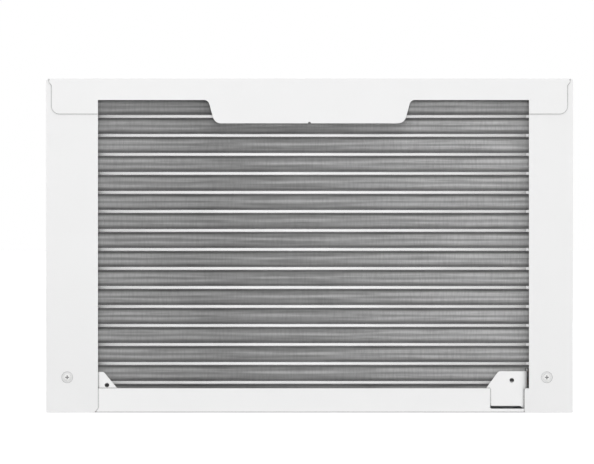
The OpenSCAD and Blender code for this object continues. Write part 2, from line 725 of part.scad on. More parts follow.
module hub_nuts() {
    color("gray") for (y = [blower_y[1] - wheel_hub_l - nut_t, fan_hub_y[1]]) difference() {
        translate([fan_x, y, fan_z]) rotate([-90, 0, 0]) cylinder(r = nut_r, h = nut_t, $fn = 6);
        rod_y([fan_x, y - 1, fan_z], shaft_r + fit, nut_t + 2);
    }
}

// ---------------------------------------------------------------- compressor
comp_r = 62;
comp_z = [34, 268];
foot_z = [26, 29];
grommet_r = 12;
neck_r = 8;
grommet_top = 35;
acc_r = 24;
acc_z = [70, 212];
acc_arm = 100;
acc_angle = -67.5;
comp_port_z = 52;
discharge_in = 26;
discharge_at = comp_at + [discharge_in, discharge_in];
foot_past = 16;                    // foot corners past their bolts
foot_corner_r = 15;
discharge_z = comp_z[1] + 8;

module compressor() {
    foot_corners = [for (p = comp_feet) let (q = p + unit(p - comp_at) * foot_past)
        [q.x, q.y, foot_corner_r]];
    color("black") difference() {
        union() {
            translate([comp_at.x, comp_at.y, 0]) rotate_extrude() polygon(rounded([[0, foot_z[1], 0],
                [comp_r - 22, foot_z[1], 0], [comp_r - 22, comp_z[0], 0], [comp_r, comp_z[0] + 6, 4],
                [comp_r, comp_z[1] - 8, 26], [16, comp_z[1], 10], [0, comp_z[1], 0]]));
            translate([0, 0, foot_z[0]]) linear_extrude(foot_z[1] - foot_z[0]) polygon(rounded(foot_corners));
            rod_z([discharge_at.x, discharge_at.y, comp_z[1] - 20], liquid_r + 1.5, 28);
            translate([comp_at.x, comp_at.y, 0]) rotate([0, 0, acc_angle])
                rod_x([0, 0, comp_port_z], 8, comp_r + 5);
            translate([comp_at.x - 20, comp_at.y - 16, comp_z[1] - 12]) linear_extrude(26)
                rect(-14, -14, 18, 14, 5);
        }
        for (p = comp_feet) rod_z([p.x, p.y, foot_z[0] - 1], neck_r + fit, 6);
    }
}

module accumulator() {
    color("black") translate([comp_at.x, comp_at.y, 0]) rotate([0, 0, acc_angle]) {
        translate([acc_arm, 0, 0]) rotate_extrude() polygon(rounded([[0, acc_z[0] - 8, 0],
            [8, acc_z[0] - 8, 0], [acc_r, acc_z[0] + 6, 8], [acc_r, acc_z[1] - 14, 8],
            [suction_r + 3, acc_z[1], 4], [suction_r + 3, acc_z[1] + 8, 0], [0, acc_z[1] + 8, 0]]));
        rod_z([acc_arm, 0, comp_port_z], suction_r, acc_z[0] - comp_port_z);
        rod_x([comp_r + 5, 0, comp_port_z], suction_r, acc_arm - comp_r - 5);
        translate([acc_arm, 0, comp_port_z]) sphere(r = suction_r);
        block([comp_r + 0.3, -10, 150], [acc_arm - acc_r + 4, 10, 156]);
    }
}

module compressor_grommets() {
    color("dimgray") for (p = comp_feet) translate([p.x, p.y, 0]) rotate_extrude()
        polygon([[stud_r + fit, floor_z + rib_h], [grommet_r, floor_z + rib_h],
            [grommet_r, foot_z[0]], [neck_r, foot_z[0]], [neck_r, foot_z[1]], [grommet_r - 1, foot_z[1]],
            [grommet_r - 1, grommet_top], [stud_r + fit, grommet_top]]);
}

module chassis_nuts() {
    module nut(p, z) {
        difference() {
            translate([p.x, p.y, z]) cylinder(r = 5.8, h = nut_h, $fn = 6);
            rod_z([p.x, p.y, z - 1], stud_r + fit, nut_h + 2);
        }
    }
    color("silver") {
        for (p = comp_feet) nut(p, grommet_top);
        for (p = bracket_studs) nut(p, floor_z + bracket_foot);
    }
}

// ---------------------------------------------------------------- pipes
acc_xy = comp_at + acc_arm * [cos(acc_angle), sin(acc_angle)];
side_run_x = half_w - 18;
drop_x = side_run_x - 6;
high_run_z = inner_top - 37;
side_run_y = shroud_y - 53;
back_run_y = part_y + 17;
step_run_y = part_y - 58;
liquid_drops = [49, 129];          // below the condenser's outlet

module discharge_pipe() {
    top = cond_rows()[0][cond_tubes - 1];
    from = discharge_at;
    color("peru") pipe([[from.x, from.y, discharge_z], [from.x, from.y, high_run_z],
        [side_run_x, from.y + 40, high_run_z], [side_run_x, shroud_y - 10, top.y],
        [side_run_x, top.x, top.y], [cond_stub_x, top.x, top.y]], liquid_r, 10);
}

module suction_pipe() {
    top = evap_rows()[1][evap_tubes - 1];
    color("peru") pipe([[acc_xy.x, acc_xy.y, acc_z[1] + 8], [acc_xy.x, acc_xy.y, suction_hole.y],
        [suction_hole.x, back_run_y, suction_hole.y], [suction_hole.x, part_y - 60, suction_hole.y],
        [suction_hole.x, top.x, top.y], [evap_stub_x, top.x, top.y]], suction_r, 9);
}

module liquid_line() {
    from = cond_rows()[1][cond_tubes - 1];
    to = evap_rows()[0][evap_tubes - 1];
    color("peru") {
        pipe([[cond_stub_x, from.x, from.y], [drop_x, from.x, from.y],
            [drop_x, from.x, from.y - liquid_drops[0]], [side_run_x, side_run_y, from.y - liquid_drops[1]],
            [side_run_x, side_run_y, liquid_hole.y],
            [side_run_x, back_run_y, liquid_hole.y], [liquid_hole.x, back_run_y, liquid_hole.y],
            [liquid_hole.x, step_run_y, liquid_hole.y], [liquid_hole.x, step_run_y, to.y],
            [liquid_hole.x, to.x, to.y], [evap_stub_x, to.x, to.y]], liquid_r, 9);
    }
}

// ---------------------------------------------------------------- evaporator
tray_top = 35.5;
tray_floor = 28;
seat_half = 4;
evap_plate_margin = 1;
evap_low_z = evap_tube_z - tube_pitch / 2 - evap_plate_margin;

module evaporator_fins() {
    color("darkgray") coil_fins(evap_x, evap_rows(), evap_fin_pitch);
}

module evaporator_tubes() {
    color("peru") coil_tubes(evap_x, evap_rows());
}

module evaporator_end_plates() {
    color("silver") for (x = [evap_x[0] - plate_t, evap_x[1]]) along_x(x, plate_t) difference() {
        coil_outline(evap_rows(), evap_plate_margin);
        coil_holes(evap_rows(), tube_r + fit);
    }
}

module drain_tray() {
    y0 = evap_y - 3.5;
    y1 = orifice_y + 6;
    color("white") difference() {
        union() {
            difference() {
                block([duct_x0, y0, floor_z], [duct_x1, y1, tray_top]);
                block([duct_x0 + 4, y0 + 2, tray_floor], [duct_x1 - 4, y1 - 3, tray_top + 1]);
            }
            for (x = evap_x) block([x - seat_half, y0 + 1, tray_floor - 1],
                [x + seat_half, orifice_y - 0.6, evap_low_z]);
        }
        rod_z([duct_x1 - 30, y1 - 10, 0], 4, tray_floor + 2);
    }
}

// ---------------------------------------------------------------- outlet: housing, louvres, vanes
louvre_pitch = 26;
louvre_at = [out_front_y + 14, (out_z[0] + out_z[1]) / 2];
louvre_t = 2.6;
crank_r = 1.6;
louvre_crank = 9;
vane_crank = 10;
vane_y = out_front_y + 52;
vane_margin = 43;                  // from an end vane to the housing's side
vane_gap = (out_x[1] - out_x[0] - 2 * vane_margin) / (vane_count - 1);
vane_mid = (out_x[0] + out_x[1]) / 2;
vane_link_z = out_z[0] + 14;
louvre_link_x = out_x[0] + 50;
link_w = 8;
link_t = 2.5;
notch_w = link_t + 1;
notch_in = 5.8;                    // from a crank pin to the bottom of its notch
pin_in = 2;                        // how far a pivot pin enters its wall

function louvre_z(i) = louvre_at.y + (i - 1) * louvre_pitch;
function vane_x(i) = vane_mid + (i - (vane_count - 1) / 2) * vane_gap;

module outlet_housing() {
    color("whitesmoke") difference() {
        along_y(out_front_y, out_back_y - out_front_y) difference() {
            rect(out_x[0] - wall, out_z[0] - wall, out_x[1] + wall, out_z[1] + wall, 3);
            rect(out_x[0], out_z[0], out_x[1], out_z[1]);
        }
        for (i = [0:2]) rod_x([out_x[0] - wall - 1, louvre_at.x, louvre_z(i)], pivot_r + run_gap,
            out_x[1] - out_x[0] + 2 * wall + 2);
        for (i = [0:vane_count - 1]) rod_z([vane_x(i), vane_y, out_z[0] - wall - 1], pivot_r + run_gap,
            out_z[1] - out_z[0] + 2 * wall + 2);
    }
}

module louvre(i) {
    z = louvre_z(i);
    color("white") {
        difference() {
            along_x(out_x[0] + slide_gap, out_x[1] - out_x[0] - 2 * slide_gap) union() {
                rect(louvre_at.x - louvre_chord / 2, z - louvre_t / 2, louvre_at.x + louvre_chord / 2,
                    z + louvre_t / 2, louvre_t / 2 - 0.05);
                translate([louvre_at.x, z]) circle(r = pivot_r + 0.8);
            }
            block([louvre_link_x - notch_w / 2, louvre_at.x + louvre_crank - notch_in, z - 4],
                [louvre_link_x + notch_w / 2, louvre_at.x + louvre_chord, z + 4]);
        }
        rod_x([out_x[0] - pin_in, louvre_at.x, z], pivot_r, out_x[1] - out_x[0] + 2 * pin_in);
        rod_x([louvre_link_x - notch_w / 2 - 1, louvre_at.x + louvre_crank, z], crank_r, notch_w + 2);
    }
}

module louvre_link() {
    y = louvre_at.x + louvre_crank;
    color("gainsboro") along_x(louvre_link_x - link_t / 2, link_t) difference() {
        rect(y - link_w / 2, louvre_z(0) - 5, y + link_w / 2, louvre_z(2) + 5, 3.5);
        for (i = [0:2]) translate([y, louvre_z(i)]) circle(r = crank_r + run_gap);
    }
}

module vane(i) {
    x = vane_x(i);
    y = vane_y + vane_crank;
    height = out_z[1] - out_z[0];
    color("whitesmoke") {
        difference() {
            translate([0, 0, out_z[0] + slide_gap]) linear_extrude(height - 2 * slide_gap) union() {
                rect(x - louvre_t / 2, vane_y - vane_chord / 2, x + louvre_t / 2,
                    vane_y + vane_chord / 2, louvre_t / 2 - 0.05);
                translate([x, vane_y]) circle(r = pivot_r + 0.8);
            }
            block([x - 5, y - notch_in, vane_link_z - notch_w / 2],
                [x + 5, y + vane_chord, vane_link_z + notch_w / 2]);
        }
        rod_z([x, vane_y, out_z[0] - pin_in], pivot_r, height + 2 * pin_in);
        rod_z([x, y, vane_link_z - notch_w / 2 - 1], crank_r, notch_w + 2);
    }
}

module vane_link() {
    y = vane_y + vane_crank;
    color("gainsboro") translate([0, 0, vane_link_z - link_t / 2]) linear_extrude(link_t) difference() {
        rect(vane_x(0) - 7, y - link_w / 2, vane_x(vane_count - 1) + 7, y + link_w / 2, 3.5);
        for (i = [0:vane_count - 1]) translate([vane_x(i), y]) circle(r = crank_r + run_gap);
    }
}

// ---------------------------------------------------------------- front frame
frame_r = 10;
grille_x = [-half_w + 14, duct_x1 - 0.5];
grille_z = [16.5, out_z[0] - 14];
grille_t = 14;
hinge_in = 4;                      // pivot from the grille's lower front edges
hinge_at = [front_y + 1 + hinge_in, grille_z[0] + hinge_in];
ledge_y = front_y + 17.5;
ledge_w = 11;
filter_t = 7;
filter_y = [ledge_y + wall + slide_gap, ledge_y + wall + slide_gap + filter_t];
filter_x = [-half_w + 18, grille_x[1] - 5.5];
filter_z = [grille_z[0] + 6, grille_z[1] - 6.5];
rail_w = 6;
panel_x = [duct_x1 + 16, half_w - 12];
panel_z = [60, out_z[0] + 18];
panel_y = front_y + 1.5;
panel_back_y = panel_y + 3;
panel_lip = 3;
dish_r = 21;
dish_floor_y = front_y + 10;
bushing_at = [half_w - 38, 32];
bushing_r = 8;

module filter_rails() {
    x0 = -half_w + 1;
    x1 = grille_x[1] + slide_gap;
    back_y = filter_y[1] + slide_gap;
    for (s = [0, 1]) {
        inner = s == 0 ? filter_z[0] - slide_gap : filter_z[1] + slide_gap;
        outer = s == 0 ? inner - wall : inner + wall;
        lip_in = s == 0 ? inner + rail_w : inner - rail_w;
        block([x0, ledge_y + 1, min(inner, outer)], [x1, back_y + 2, max(inner, outer)]);
        block([x0, back_y, min(lip_in, outer)], [x1, back_y + 2, max(lip_in, outer)]);
    }
}

module front_frame() {
    mouth = wall + 0.3;            // hole round the outlet housing, past the duct
    recess = [grille_x[0] - slide_gap, grille_z[0] - slide_gap,
        grille_x[1] + slide_gap, grille_z[1] + slide_gap];
    color("white") difference() {
        union() {
            along_y(front_y, front_d) difference() {
                rect(-half_w, 0, half_w, body_h, frame_r);
                rect(-half_w + wall, wall, half_w - wall, body_h - wall, frame_r - wall);
            }
            along_y(front_y, wall) rect(-half_w + 1, 1, half_w - 1, body_h - 1, frame_r - 1);
            along_y(front_y, ledge_y + wall - front_y)
                rect(recess[0] - wall, recess[1] - wall, recess[2] + wall, recess[3] + wall);
            rod_y([vent_at.x, front_y, vent_at.y], dish_r + 2, dish_floor_y + wall - front_y);
            filter_rails();
            for (s = [-1, 1]) block([s > 0 ? half_w - 2.8 : -half_w + 1.3, cab_front_y - 2, 32],
                [s > 0 ? half_w - 1.3 : -half_w + 2.8, cab_front_y + 8, body_h - 15]);
            block([-half_w + 12, cab_front_y - 2, body_h - 3], [half_w - 12, cab_front_y + 8, body_h - 1.5]);
        }
        along_y(front_y - 1, ledge_y - front_y + 1) rect(recess[0], recess[1], recess[2], recess[3]);
        along_y(front_y, 30)
            rect(recess[0] + ledge_w, recess[1] + ledge_w, recess[2] - ledge_w, recess[3] - ledge_w, 4);
        rod_x([recess[0] - wall - 1, hinge_at.x, hinge_at.y], pivot_r + run_gap,
            recess[2] - recess[0] + 2 * wall + 2);
        along_y(front_y - 1, wall + 2) {
            rect(out_x[0] - mouth, out_z[0] - mouth, out_x[1] + mouth, out_z[1] + mouth, 3.3);
            rect(panel_x[0] - 0.1, panel_z[0] - 0.1, panel_x[1] + 0.1, panel_z[1] + 0.1, 4);
        }
        rod_y([vent_at.x, front_y - 1, vent_at.y], dish_r, dish_floor_y - front_y + 1);
        rod_y([vent_at.x, front_y - 1, vent_at.y], rod_r + run_gap, 30);
        rod_y([bushing_at.x, front_y - 1, bushing_at.y], bushing_r + fit, 10);
        rod_y([bushing_at.x, front_y - 1, bushing_at.y], bushing_r + 3 + fit, 2.2);
        block([-half_w - 1, filter_y[0] - slide_gap, filter_z[0] - slide_gap],
            [-half_w + wall + 0.5, filter_y[1] + slide_gap, filter_z[1] + slide_gap]);
    }
}

module intake_grille() {
    border = 10;
    y0 = front_y + 1;
    width = grille_x[1] - grille_x[0];
    color("white") {
        difference() {
            along_y(y0, grille_t) difference() {
                rect(grille_x[0], grille_z[0], grille_x[1], grille_z[1]);
                rect(grille_x[0] + border, grille_z[0] + border,
                    grille_x[1] - border, grille_z[1] - border, 3);
            }
            difference() {
                block([grille_x[0] - 1, y0 - 1, grille_z[0] - 1], [grille_x[1] + 1, hinge_at.x, hinge_at.y]);
                rod_x([grille_x[0] - 2, hinge_at.x, hinge_at.y], hinge_in, width + 4);
            }
        }
        for (z = [grille_z[0] + border + 2:slat_pitch:grille_z[1] - border - 6])
            along_x(grille_x[0] + 5, width - 10)
                polygon([[y0 + 1, z], [y0 + 11, z + 3], [y0 + 11, z + 3 + slat_t], [y0 + 1, z + slat_t]]);
        for (k = [1:3]) translate([grille_x[0] + k * width / 4 - 1.5, y0 + 9, grille_z[0] + 5])
            cube([3, 5, grille_z[1] - grille_z[0] - 10]);
        rod_x([grille_x[0] - pin_in, hinge_at.x, hinge_at.y], pivot_r, width + 2 * pin_in);
    }
}

module air_filter() {
    border = 9;
    mid_y = (filter_y[0] + filter_y[1]) / 2;
    width = filter_x[1] - filter_x[0];
    height = filter_z[1] - filter_z[0];
    color("lightsteelblue") {
        along_y(filter_y[0], filter_t) difference() {
            rect(filter_x[0], filter_z[0], filter_x[1], filter_z[1], 3);
            rect(filter_x[0] + border, filter_z[0] + border, filter_x[1] - border, filter_z[1] - border, 3);
        }
        for (k = [1:6]) translate([filter_x[0] + k * width / 7 - 1.5, mid_y - 2, filter_z[0] + 5])
            cube([3, 4, height - 10]);
        for (k = [1:3]) translate([filter_x[0] + 5, mid_y - 2, filter_z[0] + k * height / 4 - 1.5])
            cube([width - 10, 4, 3]);
        block([filter_x[0] + 5, mid_y - 0.4, filter_z[0] + 5],
            [filter_x[1] - 5, mid_y + 0.4, filter_z[1] - 5]);
        along_y(filter_y[0], filter_t)
            rect(-half_w + 1, filter_z[0] + 108, filter_x[0] + 5, filter_z[0] + 140, 4);
    }
}

// ---------------------------------------------------------------- control panel
window_z = [panel_z[1] - 42, panel_z[1] - 14];
window_x = [panel_x[0] + 18, panel_x[1] - 18];
window_t = 1.6;
window_ledge = 2;
panel_mid = (panel_x[0] + panel_x[1]) / 2;
key_dx = 27;
key_top = panel_z[1] - 68;
key_pitch = 24;
key_w = 22;
key_h = 11;
power_r = 9;
key_gap = 0.3;
board_t = 1.6;
board_y = panel_back_y + 9.5;
switch_h = 5;
key_flange_y = panel_back_y + key_gap;
// Each key's name, column and row
KEYS = [["mode", -1, 0], ["fan", -1, 1], ["saver", -1, 2],
    ["temp_up", 1, 0], ["temp_down", 1, 1], ["timer", 1, 2]];
power_at = [panel_mid, key_top - 3.4 * key_pitch];
function key_at(k) = [panel_mid + k[1] * key_dx, key_top - k[2] * key_pitch];

module key_outline(grow = 0) {
    rect(-key_w / 2 - grow, -key_h / 2 - grow, key_w / 2 + grow, key_h / 2 + grow, 3 + grow);
}

module panel_posts(r, y0, y1) {
    for (x = [panel_x[0] + 8, panel_x[1] - 8], z = [power_at.y - 14, panel_z[1] - 8])
        rod_y([x, y0, z], r, y1 - y0);
}

module control_panel() {
    color("lightgray") {
        difference() {
            union() {
                along_y(panel_y, panel_back_y - panel_y)
                    rect(panel_x[0], panel_z[0], panel_x[1], panel_z[1], 4);
                along_y(front_y + wall, panel_back_y - front_y - wall) rect(panel_x[0] - panel_lip,
                    panel_z[0] - panel_lip, panel_x[1] + panel_lip, panel_z[1] + panel_lip, 6);
            }
            along_y(panel_y - 1, 8) {
                for (k = KEYS) translate(key_at(k)) key_outline(key_gap);
                translate(power_at) circle(r = power_r + key_gap);
                rect(window_x[0] + window_ledge, window_z[0] + window_ledge, window_x[1] - window_ledge,
                    window_z[1] - window_ledge, 2);
            }
            along_y(panel_y - 1, window_t + 1) rect(window_x[0], window_z[0], window_x[1], window_z[1], 3);
        }
        panel_posts(3, panel_back_y - 0.5, board_y);
    }
}

module display_window() {
    color("dimgray") along_y(panel_y, window_t) rect(window_x[0] + fit, window_z[0] + fit, window_x[1] - fit,
        window_z[1] - fit, 3);
}

module display_board() {
    color("seagreen") {
        along_y(board_y, board_t) rect(panel_x[0] + 3, power_at.y - 19, panel_x[1] - 3, panel_z[1] - 3, 2);
        along_y(board_y - 8, 8.5) rect(window_x[0] + 5, window_z[0] + 4, window_x[1] - 5, window_z[1] - 4);
        for (p = concat([for (k = KEYS) key_at(k)], [power_at])) along_y(board_y - switch_h, switch_h + 0.5)
            rect(p.x - 3, p.y - 3, p.x + 3, p.y + 3);
    }
}

// A key at the origin of the panel plane: cap, retaining flange and stem
module key_body(p) {
    stem_end = board_y - switch_h - button_travel - 0.3;
    color("white") {
        translate([p.x, 0, p.y]) {
            along_y(front_y + 0.1, key_flange_y + 1.2 - front_y - 0.1) children(0);
            along_y(key_flange_y, 1.2) children(1);
            rod_y([0, key_flange_y + 1, 0], 2.5, stem_end - key_flange_y - 1);
        }
    }
}

module key(name) {
    for (k = KEYS) if (k[0] == name) key_body(key_at(k)) {
        key_outline();
        key_outline(1.5);
    }
}

module power_key() {
    key_body(power_at) {
        circle(r = power_r);
        circle(r = power_r + 1.5);
    }
}

// ---------------------------------------------------------------- fresh-air vent
door_y = part_y + sheet_t + 0.5;
door_t = 2;

module vent_lever() {
    color("whitesmoke") {
        rod_y([vent_at.x, front_y + 2, vent_at.y], rod_r, door_y + door_t + 8 - front_y - 2);
        rod_y([vent_at.x, front_y + 1, vent_at.y], 8, dish_floor_y - front_y - 1 - slide_gap);
        along_y(front_y + 1, dish_floor_y - front_y - 1 - slide_gap) rect(vent_at.x - 3.5, vent_at.y,
            vent_at.x + 3.5, vent_at.y + dish_r - 2, 3);
    }
}

module vent_door() {
    color("gray") difference() {
        union() {
            along_y(door_y, door_t) union() {
                translate([vent_hole_x, vent_at.y]) circle(r = vent_hole_r + 5);
                rect(vent_hole_x, vent_at.y - 8, vent_at.x, vent_at.y + 8);
                translate(vent_at) circle(r = 9);
            }
            rod_y([vent_at.x, door_y, vent_at.y], 7, door_t + 6);
        }
        rod_y([vent_at.x, door_y - 1, vent_at.y], rod_r + fit, 12);
    }
}

// ---------------------------------------------------------------- control box, cord bushing, brace
box_x = [duct_x1 + 44, half_w - 8];
box_y = [cab_front_y + 7, part_y];
box_z = [40, body_h - 80];
box_t = 1.2;
pcb_y = part_y - 12;
cap_at = [(box_x[0] + box_x[1]) / 2, box_y[0] + 48];
cap_r = 22;
cap_h = 76;
brace_x = [fan_x - 20, fan_x + 20];

module control_box() {
    clamp_z = box_z[0] + 40;       // clamp round the capacitor
    color("silver") {
        difference() {
            block([box_x[0], box_y[0], box_z[0]], [box_x[1], box_y[1], box_z[1]]);
            block([box_x[0] + box_t, box_y[0] - 1, box_z[0] + box_t],
                [box_x[1] - box_t, box_y[1] - box_t, box_z[1] - box_t]);
            rod_x([box_x[0] - 1, box_y[0] + 30, box_z[1] - 30], 8, 4);
        }
        for (x = [box_x[0] + 12, box_x[1] - 12], z = [box_z[0] + 28, box_z[0] + 152])
            rod_y([x, pcb_y + board_t, z], 3, box_y[1] - box_t - pcb_y - board_t + 0.5);
        difference() {
            union() {
                rod_z([cap_at.x, cap_at.y, clamp_z], cap_r + 2, 10);
                block([cap_at.x + 10, cap_at.y - 5, clamp_z], [box_x[1] - 1, cap_at.y + 5, clamp_z + 10]);
            }
            rod_z([cap_at.x, cap_at.y, clamp_z - 1], cap_r + fit, 12);
        }
    }
}

module circuit_board() {
    z0 = box_z[0] + 20;
    color("seagreen") {
        along_y(pcb_y, board_t) rect(box_x[0] + 5, z0, box_x[1] - 5, z0 + 142, 2);
        block([box_x[0] + 12, pcb_y - 22, z0 + 12], [box_x[0] + 34, pcb_y + 0.5, z0 + 40]);
        block([box_x[0] + 42, pcb_y - 16, z0 + 16], [box_x[0] + 58, pcb_y + 0.5, z0 + 44]);
        block([box_x[0] + 14, pcb_y - 12, z0 + 80], [box_x[0] + 60, pcb_y + 0.5, z0 + 90]);
        for (k = [0:2]) rod_y([box_x[0] + 20 + 18 * k, pcb_y - 18, z0 + 62], 6, 18.5);
    }
}

module run_capacitor() {
    color("lightsteelblue") {
        rod_z([cap_at.x, cap_at.y, box_z[0] + box_t], cap_r, cap_h);
        for (x = [-8, 8]) translate([cap_at.x + x - 0.5, cap_at.y - 3, box_z[0] + box_t + cap_h - 1])
            cube([1, 6, 10]);
    }
}

module cord_bushing() {
    color("dimgray") difference() {
        union() {
            rod_y([bushing_at.x, front_y + 0.2, bushing_at.y], bushing_r + 3, 1);
            rod_y([bushing_at.x, front_y + 0.2, bushing_at.y], bushing_r, 14);
        }
        rod_y([bushing_at.x, front_y - 1, bushing_at.y], 4.5, 20);
    }
}

module top_brace() {
    y0 = part_y;
    color("silver") {
        block([brace_x[0], y0, inner_top], [brace_x[1], shroud_back, inner_top + sheet_t]);
        for (x = [brace_x[0], brace_x[1] - sheet_t]) block([x, y0, inner_top],
            [x + sheet_t, shroud_back, body_h - sheet_t - 0.3]);
    }
}

base_pan();
cabinet();
cabinet_screws();
front_frame();
intake_grille();
air_filter();
control_panel();
display_window();
display_board();
power_key();  // button_power
key("mode");  // button_mode
key("fan");  // button_fan
key("saver");  // button_saver
key("timer");  // button_timer
key("temp_up");  // button_temp_up
key("temp_down");  // button_temp_down
outlet_housing();
louvre(0);  // louvre_1
louvre(1);  // louvre_2
louvre(2);  // louvre_3
louvre_link();
vane(0);  // vane_1
vane(1);  // vane_2
vane(2);  // vane_3
vane(3);  // vane_4
vane(4);  // vane_5
vane(5);  // vane_6
vane_link();
vent_lever();
vent_door();
evaporator_fins();
evaporator_tubes();
evaporator_end_plates();
drain_tray();
blower_orifice();
air_guide();
blower_wheel();
partition();
motor_bracket();
fan_motor();
fan_shaft();
condenser_fan();
hub_nuts();
condenser_shroud();
condenser_fins();
condenser_tubes();
condenser_plate_pos();
condenser_plate_neg();
compressor();
accumulator();
compressor_grommets();
chassis_nuts();
discharge_pipe();
suction_pipe();
liquid_line();
control_box();
circuit_board();
run_capacitor();
cord_bushing();
top_brace();
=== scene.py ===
# %% [markdown]
# # A window air conditioner, dressed for the camera
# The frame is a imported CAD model: a steel cabinet over a base pan, a condenser coil at the back
# and a plastic front on the room side. Here every surface gets its finish, and the parts that a
# solid model keeps coarse, such as the coil fins, are worked out at their real spacing.

import bpy
import numpy as np
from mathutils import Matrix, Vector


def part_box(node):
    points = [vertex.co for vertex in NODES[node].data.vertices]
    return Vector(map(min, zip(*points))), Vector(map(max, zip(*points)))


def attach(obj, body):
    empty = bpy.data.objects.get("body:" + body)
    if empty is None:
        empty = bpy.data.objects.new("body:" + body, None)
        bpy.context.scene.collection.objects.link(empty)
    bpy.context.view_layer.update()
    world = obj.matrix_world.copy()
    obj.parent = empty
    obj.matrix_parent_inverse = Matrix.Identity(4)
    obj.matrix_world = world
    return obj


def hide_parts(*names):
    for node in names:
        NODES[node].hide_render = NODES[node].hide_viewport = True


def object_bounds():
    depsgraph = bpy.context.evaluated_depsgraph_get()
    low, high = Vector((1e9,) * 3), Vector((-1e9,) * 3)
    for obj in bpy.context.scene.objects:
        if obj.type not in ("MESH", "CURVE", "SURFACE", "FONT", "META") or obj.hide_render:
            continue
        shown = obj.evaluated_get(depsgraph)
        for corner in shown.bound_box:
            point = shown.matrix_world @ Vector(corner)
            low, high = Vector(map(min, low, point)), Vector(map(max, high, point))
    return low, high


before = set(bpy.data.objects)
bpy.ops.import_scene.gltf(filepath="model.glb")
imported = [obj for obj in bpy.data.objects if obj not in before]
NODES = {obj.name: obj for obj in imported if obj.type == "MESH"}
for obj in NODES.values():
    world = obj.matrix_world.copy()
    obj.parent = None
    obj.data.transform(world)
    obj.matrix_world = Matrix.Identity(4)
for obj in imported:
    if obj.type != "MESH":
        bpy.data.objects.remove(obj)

MM = 0.001
CAD_BOX = [list(corner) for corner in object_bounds()]
print(len(NODES), "nodes in a box from", np.round(CAD_BOX[0], 3), "to", np.round(CAD_BOX[1], 3))

# %% [markdown]
# ## Camera
# A product picture of the outdoor side is taken square on, from far off with a long lens. Then the
# coil, which lies behind the flanges, keeps nearly their scale. A near camera would be easier to
# place, but it would draw the coil smaller and look in past the edges of the opening. The camera's
# height and side step alone set where the case stands in the frame, so no lens shift is needed.

# %% Make the camera
CAMERA_DISTANCE = 3.6                  # metres from the rear flange
FRAMED_WIDTH = 0.676                   # metres of the rear plane that the frame shows
SIDE_STEP, RISE = 0.0142, 0.0154       # metres from the middle of the rear face
SENSOR = 36.0                          # millimetres

rear_y = CAD_BOX[1][1]
middle_z = (CAD_BOX[0][2] + CAD_BOX[1][2]) / 2
camera = bpy.data.objects.new("camera", bpy.data.cameras.new("camera"))
camera.data.sensor_width = SENSOR
camera.data.lens = SENSOR * CAMERA_DISTANCE / FRAMED_WIDTH
camera.location = (SIDE_STEP, rear_y + CAMERA_DISTANCE, middle_z + RISE)
camera.rotation_euler = (np.radians(90), 0, np.radians(180))
bpy.context.scene.collection.objects.link(camera)
bpy.context.scene.camera = camera
print("lens", round(camera.data.lens, 1), "mm")

# %% [markdown]
# ## Colours
# Colours are written as hex codes, which paint charts and colour pickers give. Those codes are not
# in step with light: a grey that looks half bright sends back about a fifth of the light. Blender's
# colour sockets want the light itself, so one function turns every code into linear values.

# %% From a hex code to linear light
def linear(hex_colour):
    """Linear RGBA of an sRGB hex colour: c / 12.92 below 0.04045, else ((c + 0.055) / 1.055) ** 2.4."""
    srgb = np.array([int(hex_colour[i : i + 2], 16) / 255 for i in (1, 3, 5)])
    rgb = np.where(srgb <= 0.04045, srgb / 12.92, ((srgb + 0.055) / 1.055) ** 2.4)
    return (*rgb, 1.0)


print("#808080 is", round(linear("#808080")[0], 3), "of white's light")

# %% [markdown]
# ## Writing finishes as nodes
# Every finish is a Principled surface with its own colour and roughness, and a few texture nodes
# that vary them. The nodes could be dragged and wired in the Shader Editor, but written down they
# give the same finish every time, and every setting can be read. One helper adds a node, sets it
# and links it, and another starts a material.

# %% Nodes and surfaces
def add(material, kind, inputs=None, stops=(), **settings):
    """Adds a node and returns it.

    Settings are its properties and stops are a ramp's (position, hex colour) pairs. Inputs are
    values, output sockets, or other nodes, whose first output is then linked.
    """
    made = material.node_tree.nodes.new("ShaderNode" + kind)
    for name, value in settings.items():
        setattr(made, name, value)
    for position, _ in stops[1:-1]:
        made.color_ramp.elements.new(position)
    for index, (position, colour) in enumerate(stops):
        made.color_ramp.elements[index].position = position
        made.color_ramp.elements[index].color = linear(colour)
    for name, value in (inputs or {}).items():
        if isinstance(value, bpy.types.Node):
            value = value.outputs[0]
        if isinstance(value, bpy.types.NodeSocket):
            material.node_tree.links.new(value, made.inputs[name])
        else:
            made.inputs[name].default_value = value
    return made


def surface(name, colour, roughness, metallic=0.0, **sockets):
    """A material with a Principled surface. Returns it, its shader and its object coordinates."""
    material = bpy.data.materials.new(name)
    material.use_nodes = True
    shader = material.node_tree.nodes["Principled BSDF"]
    shader.inputs["Base Color"].default_value = linear(colour)
    shader.inputs["Roughness"].default_value = roughness
    shader.inputs["Metallic"].default_value = metallic
    for socket, value in sockets.items():
        shader.inputs[socket.replace("_", " ")].default_value = value
    return material, shader, add(material, "TexCoord").outputs["Object"]

# %% [markdown]
# ## From a pattern to a finish
# A mark left by a real process is seen three ways: as a change of colour, of height and of gloss.
# A colour pattern alone looks printed on, so each pattern here is joined to all three. The patterns
# read Object coordinates, which are metres in this scene, so a texture's scale is one over a real
# size, and a pattern stays fixed to a part that moves.

